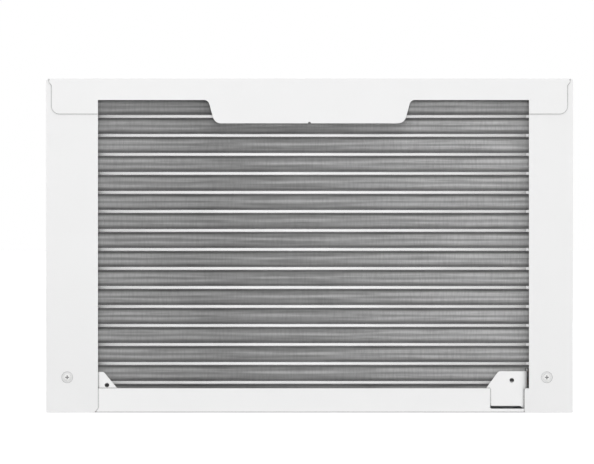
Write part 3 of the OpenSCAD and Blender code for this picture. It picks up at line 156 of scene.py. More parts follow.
# %% Joining patterns to a surface, and a surface to its parts
def detail(material, shader, colour, height, relief, gloss, spread, strength=0.3):
    """Joins patterns to a surface: its colour, a relief in metres, and roughness up or down by spread."""
    bump = add(material, "Bump", {"Height": height, "Strength": strength, "Distance": relief})
    middle = shader.inputs["Roughness"].default_value
    rough = add(material, "MapRange", {"Value": gloss, "From Min": 0.3, "From Max": 0.7,
                                       "To Min": middle - spread, "To Max": middle + spread})
    material.node_tree.links.new(colour.outputs[0], shader.inputs["Base Color"])
    material.node_tree.links.new(bump.outputs["Normal"], shader.inputs["Normal"])
    material.node_tree.links.new(rough.outputs["Result"], shader.inputs["Roughness"])
    return material


def dress(material, *names):
    """Gives CAD nodes a finish, by their object's material slots."""
    for name in names:
        for slot in NODES[name].material_slots:
            slot.material = material
    print(material.name, "on", len(names), "nodes")

# %% [markdown]
# ## Powder-coated steel
# The cabinet, pan and coil end plates are zinc-coated sheet sprayed with white polyester powder and
# baked. The powder melts to a smooth but not quite flat skin: an orange peel of low bumps about a
# millimetre apart, which only softens the reflections. Handling leaves the gloss a little uneven.
# Where one sheet laps over another, and in a screw's recess, the coat is painted grey: painted shade
# that stands in for the shadow in the narrow gap. Ambient occlusion finds every such gap by itself.

# %% Powder coat
def powder_coat(name, colour, roughness, full_shade=(0.50, "#6E6E6D"), open_from=0.90, own_laps=False):
    """Polyester powder coat: orange peel 1.3 mm across, gloss uneven over 60 mm, painted shade in the laps.

    Ambient occlusion below the first stop gives the full painted shade, above open_from none. own_laps
    looks only at the sheet's own folds, so that a screw head leaves no ring of painted shade.
    """
    material, shader, place = surface(name, colour, roughness, Coat_Weight=0.15, Coat_Roughness=0.25)
    laps = add(material, "AmbientOcclusion", {"Distance": 2.5 * MM}, samples=8, only_local=own_laps)
    # Painted shade: the coat turns grey where ambient occlusion finds a narrow gap.
    painted_lap_shade = add(material, "ValToRGB", {"Fac": laps.outputs["AO"]}, stops=[full_shade, (open_from, colour)])
    peel = add(material, "TexNoise", {"Vector": place, "Scale": 1 / (1.3 * MM), "Detail": 1.0})
    handled = add(material, "TexNoise", {"Vector": place, "Scale": 1 / (60 * MM), "Detail": 3.0})
    return detail(material, shader, painted_lap_shade, peel, 0.03 * MM, handled, 0.05, strength=0.12)


dress(powder_coat("white_powder_coated_steel", "#F2F2F2", 0.46, own_laps=True), "cabinet")
# Painted light: the pan and the end plates get the same white coat made lighter, which makes up for the shade
# that they stand in.
dress(powder_coat("white_powder_coated_steel_painted_lighter", "#F7F7F7", 0.46),
      "base_pan", "condenser_plate_pos", "condenser_plate_neg")
# Painted shade: the screw's coat turns near black in its cross recess, where ambient occlusion is low.
dress(powder_coat("white_coated_screw_steel", "#F0F0EF", 0.40, (0.60, "#262626"), 0.84), "cabinet_screws")

# %% [markdown]
# ## Moulded plastics
# The room side is ABS, injected into steel moulds. A large cover's mould is spark-eroded to a fine
# matt grain of rounded pits about 0.4 mm apart, which hides scratches; louvres and keys come from
# polished moulds and are smoother. Real grain is too fine to show from a few metres, so the mould's
# own slow waviness is added, some 25 mm across, which breaks up the reflections as a cover does.
# The plastic flows in from a gate, and leaves the shade and the gloss slightly streaky. A picture of
# grain could be wrapped round each part, but noise in space needs no unwrapping and has no seams.

# %% ABS and the other mouldings
def moulded(name, colour, shade, roughness, grain, relief, **sockets):
    """Moulded plastic: grain of the mould's surface, slow sink waves, and flow streaks four times as tall."""
    material, shader, place = surface(name, colour, roughness, **sockets)
    pits = add(material, "TexNoise", {"Vector": place, "Scale": 1 / grain, "Detail": 1.0})
    waves = add(material, "TexNoise", {"Vector": place, "Scale": 1 / (25 * MM), "Detail": 1.0})
    height = add(material, "Math", {0: pits, 1: waves}, operation="ADD")
    flow_place = add(material, "Mapping", {"Vector": place, "Scale": (1, 1, 0.25)})
    flow = add(material, "TexNoise", {"Vector": flow_place, "Scale": 1 / (30 * MM), "Detail": 3.0})
    tint = add(material, "ValToRGB", {"Fac": flow}, stops=[(0.3, shade), (0.7, colour)])
    return detail(material, shader, tint, height, relief, flow, 0.04, strength=0.25)


POLISHED = 0.9 * MM                # a polished mould leaves only this slow, faint ripple
dress(moulded("white_textured_abs", "#EFEFEC", "#EAEAE6", 0.50, 0.4 * MM, 0.03 * MM),
      "front_frame", "intake_grille")
dress(moulded("white_satin_abs", "#E9E9E6", "#E4E4E1", 0.34, POLISHED, 0.01 * MM),
      "outlet_housing", "louvre_1", "louvre_2", "louvre_3", "louvre_link", "vane_1", "vane_2", "vane_3",
      "vane_4", "vane_5", "vane_6", "vane_link", "vent_lever")
dress(moulded("pale_grey_abs", "#D6D8D9", "#D0D2D3", 0.42, 0.5 * MM, 0.02 * MM), "control_panel")
dress(moulded("white_key_abs", "#F3F3F1", "#EFEFEC", 0.30, POLISHED, 0.008 * MM, Coat_Weight=0.2),
      "button_power", "button_mode", "button_fan", "button_saver", "button_timer", "button_temp_up",
      "button_temp_down")
dress(moulded("grey_polypropylene", "#BCBFBF", "#B2B5B5", 0.46, 0.8 * MM, 0.02 * MM), "blower_orifice")
dress(moulded("black_glass_filled_nylon", "#37393B", "#2D2F31", 0.52, 0.7 * MM, 0.03 * MM),
      "blower_wheel", "condenser_fan")

# %% [markdown]
# ## Window over the display
# The display sits behind smoked acrylic, cast as a flat clear sheet with a dye in it. It is the one
# mirror-like surface on the front: nearly black, with a sharp reflection and faint wipe marks. It
# could be made clear, but so little light gets back through the dye that a dark body under a
# glossy coat looks the same and renders faster.

# %% Smoked acrylic
smoked, shader, place = surface("smoked_acrylic", "#17191C", 0.10, Coat_Weight=0.6, Coat_Roughness=0.04)
wipe_place = add(smoked, "Mapping", {"Vector": place, "Scale": (0.2, 1, 1)})
wiped = add(smoked, "TexNoise", {"Vector": wipe_place, "Scale": 1 / (6 * MM), "Detail": 4.0})
depth = add(smoked, "ValToRGB", {"Fac": wiped}, stops=[(0.35, "#15171A"), (0.75, "#212428")])
sheet_waves = add(smoked, "TexNoise", {"Vector": place, "Scale": 1 / (18 * MM)})
dress(detail(smoked, shader, depth, sheet_waves, 0.02 * MM, wiped, 0.05, strength=0.1), "display_window")

# %% [markdown]
# ## Filter net
# The filter is a moulded polypropylene frame with a net of 0.25 mm thread welded across it, about
# one thread a millimetre. The net is one thin sheet in the CAD model, so the weave is drawn: two
# sets of waves at right angles, where the larger of the two is a thread and the rest a dark hole.
# The spacing is 1.6 mm, a little coarser than the real one, so that it shows at all. Lint greys it.

# %% Woven net
WAVE_SCALE = np.pi / 10            # over a pitch, this is the scale at which a wave repeats there
THREAD_PITCH = 1.6 * MM
net, shader, place = surface("blue_polypropylene_net", "#8498AF", 0.55)
warp = add(net, "TexWave", {"Vector": place, "Scale": WAVE_SCALE / THREAD_PITCH}, bands_direction="X")
weft = add(net, "TexWave", {"Vector": place, "Scale": WAVE_SCALE / THREAD_PITCH}, bands_direction="Z")
weave = add(net, "Math", {0: warp, 1: weft}, operation="MAXIMUM")
threads = add(net, "ValToRGB", {"Fac": weave}, stops=[(0.55, "#4E5C6C"), (0.85, "#8FA3BA")])
lint = add(net, "TexNoise", {"Vector": place, "Scale": 1 / (40 * MM), "Detail": 4.0, "Roughness": 0.65})
greying = add(net, "ValToRGB", {"Fac": lint}, stops=[(0.4, "#FFFFFF"), (0.75, "#CFCDC8")])
tone = add(net, "VectorMath", {0: threads, 1: greying}, operation="MULTIPLY")
dress(detail(net, shader, tone, weave, 0.2 * MM, lint, 0.08, strength=0.4), "air_filter")

# %% [markdown]
# ## Sheet steel
# Inner brackets are bare hot-dip galvanised sheet. The zinc freezes from many seeds at once, so the
# surface is a patchwork of flat crystals 6 to 12 mm across, each with its own brightness. Noise has
# no flat patches, so a Voronoi texture is used: it gives every cell one random value, which goes to
# both colour and gloss. Rolling adds fine lines along the sheet. Shafts and nuts are turned and
# zinc plated, with lathe lines round them. The shaft lies along Y, so a noise stretched along X and
# Z changes only along the shaft, which makes the rings.

# %% Galvanised and bright steel
galvanised, shader, place = surface("galvanised_sheet_steel", "#CED1D3", 0.38, metallic=0.85)
cells = add(galvanised, "TexVoronoi", {"Vector": place, "Scale": 1 / (9 * MM)})
spangle = add(galvanised, "SeparateColor", {"Color": cells.outputs["Color"]})
tone = add(galvanised, "ValToRGB", {"Fac": spangle}, stops=[(0.0, "#B8BBBE"), (1.0, "#CFD2D4")])
roll_place = add(galvanised, "Mapping", {"Vector": place, "Scale": (0.03, 1, 1)})
rolled = add(galvanised, "TexNoise", {"Vector": roll_place, "Scale": 1 / (0.5 * MM), "Detail": 1.0})
dress(detail(galvanised, shader, tone, rolled, 0.01 * MM, spangle, 0.05, strength=0.2),
      "evaporator_end_plates", "partition", "motor_bracket", "condenser_shroud", "control_box", "top_brace",
      "vent_door")

turned, shader, place = surface("turned_zinc_plated_steel", "#C9CCCF", 0.24, metallic=1.0)
lathe_place = add(turned, "Mapping", {"Vector": place, "Scale": (0.03, 1, 0.03)})
rings = add(turned, "TexNoise", {"Vector": lathe_place, "Scale": 1 / (0.4 * MM)})
tone = add(turned, "ValToRGB", {"Fac": rings}, stops=[(0.3, "#B9BDC1"), (0.7, "#D4D7D9")])
dress(detail(turned, shader, tone, rings, 0.01 * MM, rings, 0.08), "fan_shaft", "hub_nuts", "chassis_nuts")

# %% [markdown]
# ## Enamels
# The compressor and its accumulator are dipped in black enamel after welding, thick and glossy, with
# runs and orange peel. The motor is sprayed grey. Both gather a film of dust on what faces up. A
# gradient along the height would grey a whole side wall, so the upward part of the normal decides
# how much of the dust's colour shows, times a noise for the way that it falls.

# %% Black and grey enamel
def enamel(name, colour, dusty, roughness, peel_size):
    """Sprayed enamel: orange peel, and dust that lightens the faces that look up."""
    material, shader, place = surface(name, colour, roughness, Coat_Weight=0.3, Coat_Roughness=0.15)
    facing = add(material, "SeparateXYZ", {"Vector": add(material, "NewGeometry").outputs["Normal"]})
    fall = add(material, "TexNoise", {"Vector": place, "Scale": 1 / (12 * MM), "Detail": 4.0})
    film = add(material, "Math", {0: facing.outputs["Z"], 1: fall}, operation="MULTIPLY")
    tone = add(material, "ValToRGB", {"Fac": film}, stops=[(0.2, colour), (0.65, dusty)])
    peel = add(material, "TexNoise", {"Vector": place, "Scale": 1 / peel_size, "Detail": 1.0})
    return detail(material, shader, tone, peel, 0.05 * MM, film, 0.08, strength=0.2)


dress(enamel("black_dipped_enamel", "#131314", "#3A3937", 0.28, 2.5 * MM), "compressor", "accumulator")
dress(enamel("grey_motor_enamel", "#70777C", "#8D9194", 0.40, 1.5 * MM), "fan_motor")

# %% [markdown]
# ## Copper
# Refrigerant lines are drawn copper tube. It leaves the die bright, then tarnishes to brown in
# patches a few centimetres long. One orange would look like paint, so a ramp of four browns and
# oranges runs over a slow noise, and the same noise varies the gloss. Fine drawing lines run along
# the tube.

# %% Drawn copper
copper, shader, place = surface("drawn_copper", "#C07A57", 0.30, metallic=1.0)
tarnish = add(copper, "TexNoise", {"Vector": place, "Scale": 1 / (22 * MM), "Detail": 5.0, "Roughness": 0.6})
tone = add(copper, "ValToRGB", {"Fac": tarnish},
           stops=[(0.30, "#6E3F2B"), (0.46, "#A5623F"), (0.60, "#C68360"), (0.80, "#D99A76")])
die_place = add(copper, "Mapping", {"Vector": place, "Scale": (0.03, 1, 1)})
die_lines = add(copper, "TexNoise", {"Vector": die_place, "Scale": 1 / (0.5 * MM)})
dress(detail(copper, shader, tone, die_lines, 0.01 * MM, tarnish, 0.10, strength=0.2),
      "condenser_tubes", "evaporator_tubes", "discharge_pipe", "suction_pipe", "liquid_line")

# %% [markdown]
# ## Foam and rubber
# The air guide and the drain tray are expanded polystyrene: beads 3 mm across pressed together, so
# the skin shows a net of cells. Modelled beads would take millions of faces, and a Voronoi distance
# gives the same net as a relief. Moulded rubber is matt, with a grey bloom of wax that comes to its
# surface.

# %% Polystyrene and rubber
foam, shader, place = surface("expanded_polystyrene", "#F0F0ED", 0.70)
beads = add(foam, "TexVoronoi", {"Vector": place, "Scale": 1 / (3 * MM)})
tone = add(foam, "ValToRGB", {"Fac": beads}, stops=[(0.2, "#F4F4F1"), (0.75, "#DDDDD8")])
dome = add(foam, "Math", {0: 1.0, 1: beads}, operation="SUBTRACT")
dress(detail(foam, shader, tone, dome, 0.3 * MM, beads, 0.05, strength=0.5), "air_guide", "drain_tray")

rubber, shader, place = surface("black_moulded_rubber", "#1D1D1E", 0.72)
bloom = add(rubber, "TexNoise", {"Vector": place, "Scale": 1 / (4 * MM), "Detail": 4.0})
tone = add(rubber, "ValToRGB", {"Fac": bloom}, stops=[(0.35, "#19191A"), (0.75, "#2E2D2C")])
skin = add(rubber, "TexNoise", {"Vector": place, "Scale": 1 / (0.6 * MM)})
dress(detail(rubber, shader, tone, skin, 0.03 * MM, bloom, 0.08), "compressor_grommets", "cord_bushing")

# %% [markdown]
# ## Circuit boards and the capacitor
# A board is glass and epoxy under green lacquer, and the copper tracks below it show as paler lines
# and raise it a little. Tracks could be drawn one by one, but these boards are seen only past other
# parts, so a brick pattern that lays them out in rows is enough. The capacitor's can is aluminium
# drawn upwards from a disc, so its lines run up its side.

# %% Lacquered board and drawn can
board, shader, place = surface("lacquered_circuit_board", "#1F6B45", 0.32, Coat_Weight=0.4)
tracks = add(board, "TexBrick", {"Vector": place, "Scale": 1 / (14 * MM), "Mortar Size": 0.06,
                                 "Color1": linear("#1E6441"), "Color2": linear("#226F49"),
                                 "Mortar": linear("#2F8A5C")})
lacquer = add(board, "TexNoise", {"Vector": place, "Scale": 1 / (9 * MM)})
dress(detail(board, shader, tracks, tracks.outputs["Fac"], 0.04 * MM, lacquer, 0.06, strength=0.5),
      "display_board", "circuit_board")

can, shader, place = surface("drawn_aluminium", "#C2C5C8", 0.33, metallic=1.0)
wall_place = add(can, "Mapping", {"Vector": place, "Scale": (1, 1, 0.02)})
drawn = add(can, "TexNoise", {"Vector": wall_place, "Scale": 1 / (0.5 * MM)})
tone = add(can, "ValToRGB", {"Fac": drawn}, stops=[(0.3, "#B4B8BC"), (0.7, "#CDD0D2")])
dress(detail(can, shader, tone, drawn, 0.01 * MM, drawn, 0.06), "run_capacitor")

# %% [markdown]
# ## Surfaces from numpy
# Pieces could be built from primitives and operators, one click after another. Here they are grids
# of points: a function of two parameters gives every point at once, and one array of quads joins
# neighbours. A shape that is repeated, such as a fin, is the same grid with a third array axis for
# the copies, so that each copy can differ a little.

# %% Helpers for meshes
def quads(columns, rows, closed=False, copies=1):
    """Quads of a grid whose points run rows first: (c, r), (c + 1, r), (c + 1, r + 1), (c, r + 1)."""
    c, r = np.meshgrid(np.arange(columns if closed else columns - 1), np.arange(rows - 1), indexing="ij")
    after = (c + 1) % columns
    one = np.stack([c * rows + r, after * rows + r, after * rows + r + 1, c * rows + r + 1], -1)
    return (one.reshape(1, -1, 4) + (np.arange(copies) * columns * rows)[:, None, None]).reshape(-1, 4)


def piece(name, points, faces, body, material, smooth=True):
    """A mesh object at the origin that rides on a CAD body. Points are in metres, faces a list."""
    mesh = bpy.data.meshes.new(name)
    mesh.from_pydata(np.reshape(points, (-1, 3)), [], faces)
    mesh.polygons.foreach_set("use_smooth", np.full(len(mesh.polygons), smooth))
    mesh.materials.append(material)
    made = bpy.data.objects.new(name, mesh)
    bpy.context.scene.collection.objects.link(made)
    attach(made, body)
    print(name, len(mesh.vertices), "points", len(mesh.polygons), "faces")
    return made

# %% [markdown]
# ## Bare fin stock
# A coil's fins are rolled aluminium foil a tenth of a millimetre thick. Seen edge on, the pack looks
# mid grey, because light that goes between two fins is lost on its way in. Slits are pressed across
# each fin between the tubes, in two banks with a plain strip between them, and a deep drawn collar
# stands round each tube. Banks and collars repeat with the tube pitch, and so do the light and dark
# bands that the light and shade on them make, with the collars' shadow beside each tube. The plain
# strip is lighter in the middle of the coil and darker towards its ends. Slits cut into some 600
# fins would be millions of faces. So the fins are folded strips, and these bands are painted light
# and shade in the foil's colour: one ramp over each tube pitch paints the banks, the plain strip and
# the collars' shadow, and another along the coil paints the drift from light to dark.

# %% Painted light and shade over one tube pitch
TUBE_PITCH = 21.7 * MM
# Painted light and shade: light slit banks, the plain strip between them, and dark bands beside each tube
# where the collars' shadow falls.
PAINTED_SHADE_DARK_STRIP = [(0.00, "#9C9C9C"), (0.12, "#A6A6A6"), (0.18, "#C4C4C4"), (0.25, "#EAEAEA"),
                    (0.33, "#FFFFFF"), (0.40, "#F4F4F4"), (0.44, "#DADADA"), (0.49, "#DADADA"),
                    (0.54, "#F6F6F6"), (0.64, "#FFFFFF"), (0.71, "#ECECEC"), (0.80, "#989898"),
                    (1.00, "#989898")]
PAINTED_SHADE_LIGHT_STRIP = [(0.00, "#A0A0A0"), (0.12, "#ACACAC"), (0.22, "#D6D6D6"), (0.38, "#D4D4D4"),
                     (0.48, "#FFFFFF"), (0.53, "#FFFFFF"), (0.62, "#D4D4D4"), (0.74, "#D2D2D2"),
                     (0.82, "#A0A0A0"), (1.00, "#9C9C9C")]
print(len(PAINTED_SHADE_DARK_STRIP), "and", len(PAINTED_SHADE_LIGHT_STRIP), "shades over", TUBE_PITCH / MM, "mm")

# %% Fin foil
# The drift of the foil's colour along the coil is painted light and shade.
COIL_HALF = 250 * MM                   # half of the coil's length, over which its shade drifts
BRIGHT_HALF, FADED_HALF = 30 * MM, 110 * MM    # where the plain strip is light, and no longer so
MIX_A, MIX_B, MIX_RESULT = 6, 7, 2     # a Mix node's colour sockets share their names with others


def fin_foil(name, colour, tube_z, middle_x):
    """Aluminium foil with painted light and shade: bands that repeat with (z - tube_z) / TUBE_PITCH, lightest
    round middle_x.
    """
    material, shader, place = surface(name, colour, 0.6)
    axes = add(material, "SeparateXYZ", {"Vector": place})
    rise = add(material, "Math", {0: axes.outputs["Z"], 1: tube_z}, operation="SUBTRACT")
    turns = add(material, "Math", {0: rise, 1: TUBE_PITCH}, operation="DIVIDE")
    phase = add(material, "Math", {0: turns}, operation="FRACT")
    # Painted shade of the banks, the plain strip and the collars' shadow, once with the plain strip dark and
    # once light.
    dark = add(material, "ValToRGB", {"Fac": phase}, stops=PAINTED_SHADE_DARK_STRIP)
    light = add(material, "ValToRGB", {"Fac": phase}, stops=PAINTED_SHADE_LIGHT_STRIP)
    off = add(material, "Math", {0: axes.outputs["X"], 1: middle_x}, operation="SUBTRACT")
    away = add(material, "Math", {0: off}, operation="ABSOLUTE")
    ends = add(material, "MapRange", {"Value": away, "From Min": BRIGHT_HALF, "From Max": FADED_HALF})
    painted_bands = add(material, "Mix", {"Factor": ends, MIX_A: light, MIX_B: dark}, data_type="RGBA")
    # Painted light along the coil: lighter towards the negative end, darker towards the positive one.
    side = add(material, "MapRange",
               {"Value": axes.outputs["X"], "From Min": -COIL_HALF, "From Max": COIL_HALF})
    painted_light_along_coil = add(material, "ValToRGB", {"Fac": side},
                stops=[(0.08, "#FFFFFF"), (0.35, "#F2F2F2"), (0.55, "#EEEEEE"), (0.72, "#D8D8D8"),
                       (0.92, "#E2E2E2")])
    upright = add(material, "Mapping", {"Vector": place, "Scale": (1, 1, 0.15)})
    combing = add(material, "TexNoise", {"Vector": upright, "Scale": 1 / (2.2 * MM), "Detail": 2.0})
    combed = add(material, "ValToRGB", {"Fac": combing}, stops=[(0.34, "#F2F2F2"), (0.58, "#FFFFFF")])
    level = add(material, "Mapping", {"Vector": place, "Scale": (0.04, 1, 1)})
    slits = add(material, "TexNoise", {"Vector": level, "Scale": 1 / (2.0 * MM), "Detail": 3.0})
    slitted = add(material, "ValToRGB", {"Fac": slits}, stops=[(0.30, "#DADADA"), (0.58, "#FFFFFF")])
    tone = painted_bands.outputs[MIX_RESULT]
    for shade in (painted_light_along_coil, combed, slitted, linear(colour)[:3]):
        tone = add(material, "VectorMath", {0: tone, 1: shade}, operation="MULTIPLY")
    return detail(material, shader, tone, slits, 0.05 * MM, combing, 0.08)

# %% [markdown]
# ## Folded fins
# The foil is pressed into a herringbone, so that air has no straight way through and the coil looks
# closed from the front. An Array modifier could repeat one fin, but every copy would be alike.
# With the fin's number as one more array axis, the pack waves slowly as a real one does, and a few
# fins are bent by a touch, drawn from a seeded generator so that they are the same each time.

# %% Fin pack
def fin_pack(name, low, high, pitch, wave, material, seed, folds=8, rows=6):
    """Fins across a coil: x = start + pitch * (i + 1/2) + wave * zigzag(s) + slow(i, t) + bend(i, t) * s.

    s runs along the depth and t up the height, between two corners. zigzag goes from 1/2 to -1/2
    and back in each pair of folds. slow is a fifth of a pitch * sin(i / 23 + 5 * t + 2 * sin(i / 61)),
    and bend, at one height in forty, is up to 0.4 of a pitch either way.
    """
    start = low[0] + abs(wave) / 2
    count = int((high[0] - low[0] - abs(wave)) / pitch)
    rng = np.random.default_rng(seed)
    i = np.arange(count)[:, None, None]
    s = np.linspace(0, 1, folds + 1)[None, :, None]
    t = np.linspace(0, 1, rows)[None, None, :]
    zigzag = 0.5 - np.arange(folds + 1)[None, :, None] % 2
    slow = 0.2 * pitch * np.sin(i / 23 + 5 * t + 2 * np.sin(i / 61))
    bend = (rng.random((count, 1, rows)) < 1 / 40) * rng.uniform(-0.4, 0.4, (count, 1, rows)) * pitch
    x = start + pitch * (i + 0.5) + wave * zigzag + slow + bend * s
    y = low[1] + (high[1] - low[1]) * s + 0 * x
    z = low[2] + (high[2] - low[2]) * t + 0 * x
    return piece(name, np.stack([x, y, z], -1), quads(folds + 1, rows, copies=count).tolist(), "chassis",
                 material, smooth=False)

# %% [markdown]
# ## The two fin packs
# Both coils get the fins that real ones have, some 380 in the condenser and 240 in the evaporator,
# in place of the solid model's few, which are as far apart as a solid model needs them to be. The
# evaporator's foil has the pale blue coating that makes water run off it.

# %% Fins of the condenser and the evaporator
END_ROOM = 1.2 * MM                # the real pack goes this far past the solid model's end fins
OUTDOOR_ROW = (262.2 * MM, 34.3 * MM)     # depth and height of the condenser's lowest outdoor tube
ROOM_ROW = (-207.6 * MM, 52.0 * MM)       # and of the evaporator's lowest room-side tube
OUTDOOR_PITCH = 1.3 * MM
bare_foil = fin_foil("bare_fin_aluminium", "#FCFCFC", OUTDOOR_ROW[1], 18 * MM)
coated_foil = fin_foil("coated_fin_aluminium", "#ECF6FB", ROOM_ROW[1], -60 * MM)

core_low, core_high = np.array(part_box("condenser_fins")) + [(-END_ROOM, 0, 0), (END_ROOM, 0, 0)]
condenser_pack = fin_pack("condenser_fin_pack", core_low, core_high, OUTDOOR_PITCH, 3.8 * MM, bare_foil,
                          seed=3)
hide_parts("condenser_fins")

room_low, room_high = np.array(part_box("evaporator_fins")) + [(-END_ROOM, 0, 0), (END_ROOM, 0, 0)]
evaporator_pack = fin_pack("evaporator_fin_pack", room_low, room_high, 1.6 * MM, -4.4 * MM, coated_foil,
                           seed=5)
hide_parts("evaporator_fins")

# %% [markdown]
# ## Fins over the end plates
# On the outdoor face the condenser's foil laps over the edges of its end plates. Longer fins all
# through the depth would cut into the plates, so the lap is a shallow row of its own, with one
# fold, that only stands proud of them. The core's last fold leans to the positive side, so on the
# negative side the lap also fills the gap that is left there.

# %% Edge fins
EDGE_WIDTH = 5.2 * MM              # how far the face of the condenser goes past its core
EAR_TOP = 50 * MM                  # the end plates' mounting ears are below this height
CORE_LAP = 4.2 * MM                # the gap beside the core's last fold
plate_rear_y = core_high[1] - 2.7 * MM    # 0.3 mm clear of the end plates' edge
for side, inner_x, lap in (("neg", core_low[0], CORE_LAP), ("pos", core_high[0], 0.0)):
    across = sorted((inner_x + lap, inner_x + np.sign(inner_x) * EDGE_WIDTH))
    edge_low = (across[0], plate_rear_y, EAR_TOP)
    edge_high = (across[1], core_high[1], core_high[2])
    fin_pack("condenser_edge_fins_" + side, edge_low, edge_high, OUTDOOR_PITCH, -2.2 * MM, bare_foil,
             seed=7, folds=1)

# %% [markdown]
# ## Collars on the tubes
# Each fin is pierced for the tubes and the metal is drawn into a collar, and collar meets collar,
# so along a tube the coil shows one bright aluminium sleeve. The sleeves of the outdoor row swell
# towards the face of the pack, where they catch the light as thin white lines. A bevelled curve
# would give a round sleeve only. Here a sleeve is one closed section carried along the tube, so
# its nose can be blunt in front and its back can follow the tube.

# %% Section of a sleeve
COLLAR_RADIUS = 3.62 * MM
NOSE_POINTS = 10


def sleeve_section(tip, back, tip_half=1.85 * MM, sag=0.75 * MM, count=NOSE_POINTS):
    """A closed section as (y, z) points round a tube's centre: a blunt nose in front, then the back.

    The nose is y = tip - tip_half * (1 - cos(a) ** 0.4), z = -sag + tip_half * sin(a), for a from
    -90 to 90 degrees, which is flatter in front than a half circle.
    """
    a = np.linspace(-0.5, 0.5, count) * np.pi
    nose = np.stack([tip - tip_half * (1 - np.abs(np.cos(a)) ** 0.4), -sag + tip_half * np.sin(a)], -1)
    return np.concatenate([nose, back])


def tube_back(count=10):
    """The collar behind the nose: COLLAR_RADIUS * (cos a, sin a), for a from 112 to 248 degrees."""
    a = np.linspace(0.62, 1.38, count) * np.pi
    return COLLAR_RADIUS * np.stack([np.cos(a), np.sin(a)], -1)

# %% Rows of sleeves
def sleeves(name, x_from, x_to, section, row, count, material, facing=1):
    """Closed tubes along X, one a tube pitch above the other, whose noses face +Y (1) or -Y (-1)."""
    section = section[::facing]
    n = len(section)
    rise = row[1] + np.arange(count)[:, None, None] * TUBE_PITCH
    x = np.array([x_from, x_to])[None, None, :] + np.zeros((count, n, 1))
    y = row[0] + facing * section[None, :, 0, None] + 0 * x
    z = section[None, :, 1, None] + rise + 0 * x
    first = np.arange(count)[:, None] * 2 * n
    caps = np.concatenate([first + 2 * np.arange(n)[::-1], first + 2 * np.arange(n) + 1])
    faces = quads(n, 2, closed=True, copies=count).tolist() + caps.tolist()
    return piece(name, np.stack([x, y, z], -1), faces, "chassis", material)

# %% [markdown]
# ## Drawn aluminium
# Drawing the collars burnishes the foil, so a sleeve is brighter and smoother than the fins. It is
# ringed where one collar meets the next, once a fin pitch, and lightly scuffed along the tube.

# %% Collars of the condenser and the evaporator
collar, shader, place = surface("drawn_collar_aluminium", "#FAFAFA", 0.5)
rims = add(collar, "TexWave", {"Vector": place, "Scale": WAVE_SCALE / OUTDOOR_PITCH, "Distortion": 0.4})
scuff_place = add(collar, "Mapping", {"Vector": place, "Scale": (0.07, 1, 1)})
scuffs = add(collar, "TexNoise", {"Vector": scuff_place, "Scale": 1 / (3 * MM), "Detail": 4.0})
tone = add(collar, "ValToRGB", {"Fac": scuffs}, stops=[(0.25, "#F0F0F0"), (0.6, "#FFFFFF")])
detail(collar, shader, tone, rims, 0.1 * MM, scuffs, 0.1, strength=0.1)

OUTDOOR_TUBES = 16
PROUD = 0.1 * MM                   # of the nose over the foil
outdoor_tip = core_high[1] + PROUD - OUTDOOR_ROW[0]
sleeve = sleeve_section(outdoor_tip, tube_back())
sleeves("condenser_collars", core_low[0], core_high[0], sleeve, OUTDOOR_ROW, OUTDOOR_TUBES, collar)

room_tip = ROOM_ROW[0] - room_low[1] + PROUD
room_count = int((room_high[2] - ROOM_ROW[1]) / TUBE_PITCH) + 1
room_sleeve = sleeve_section(room_tip, tube_back(), tip_half=1.2 * MM, sag=0.0)
sleeves("evaporator_collars", room_low[0], room_high[0], room_sleeve, ROOM_ROW, room_count, collar, facing=-1)

# %% [markdown]
# ## Collars over the end plates
# The edge fins carry the same bright lines, or these would stop short of the opening's edge. The
# section keeps its nose, and a flat back in place of the arc ends it just clear of the plates. The
# lowest tube has none, because the plates' mounting ears stand there.

# %% Collars of the edge fins
nose_low, nose_high = sleeve[0, 1], sleeve[NOSE_POINTS - 1, 1]
lap_depth = plate_rear_y - OUTDOOR_ROW[0]
edge_sleeve = sleeve_section(outdoor_tip, np.array([(lap_depth, nose_high), (lap_depth, nose_low)]))
above_ears = (OUTDOOR_ROW[0], OUTDOOR_ROW[1] + TUBE_PITCH)
for side, inner_x in (("neg", core_low[0]), ("pos", core_high[0])):
    across = sorted((inner_x, inner_x + np.sign(inner_x) * EDGE_WIDTH))
    sleeves("condenser_edge_collars_" + side, *across, edge_sleeve, above_ears, OUTDOOR_TUBES - 1, collar)

# %% [markdown]
# ## Seals beside the condenser
# Outdoor air would rather go round a coil than through it, so the room between the end plates and
# the flanges is closed with strips of black foam rubber. Their black also stands in for the shade in
# that narrow gap: a dark part put where the gap beside the coil shows dark. A bevelled box would look
# hard. A squeezed strip has round shoulders, and a superellipse gives them in one formula. The cut
# skin shows its cells.

# %% Shape of a squeezed strip
def squeezed_strip(name, low, high, material, count=28, rows=12):
    """A superellipse drawn up Z: middle + half size * sign(cos a) * |cos a| ** 0.35, and sin a for y.

    The half sizes swell and shrink by 3% along the height, as foam does between its fixings.
    """
    low, high = np.array(low), np.array(high)
    a = np.arange(count)[:, None] / count * 2 * np.pi
    t = np.linspace(0, 1, rows)[None, :]
    swell = 0.97 + 0.03 * np.cos(6 * np.pi * t)
    round_x, round_y = (np.sign(f) * np.abs(f) ** 0.35 for f in (np.cos(a), np.sin(a)))
    x = (low[0] + high[0]) / 2 + (high[0] - low[0]) / 2 * swell * round_x
    y = (low[1] + high[1]) / 2 + (high[1] - low[1]) / 2 * swell * round_y
    z = low[2] + (high[2] - low[2]) * t + 0 * x
    ring = np.arange(count) * rows
    faces = quads(count, rows, closed=True).tolist() + [ring[::-1].tolist(), (ring + rows - 1).tolist()]
    return piece(name, np.stack([x, y, z], -1), faces, "chassis", material)

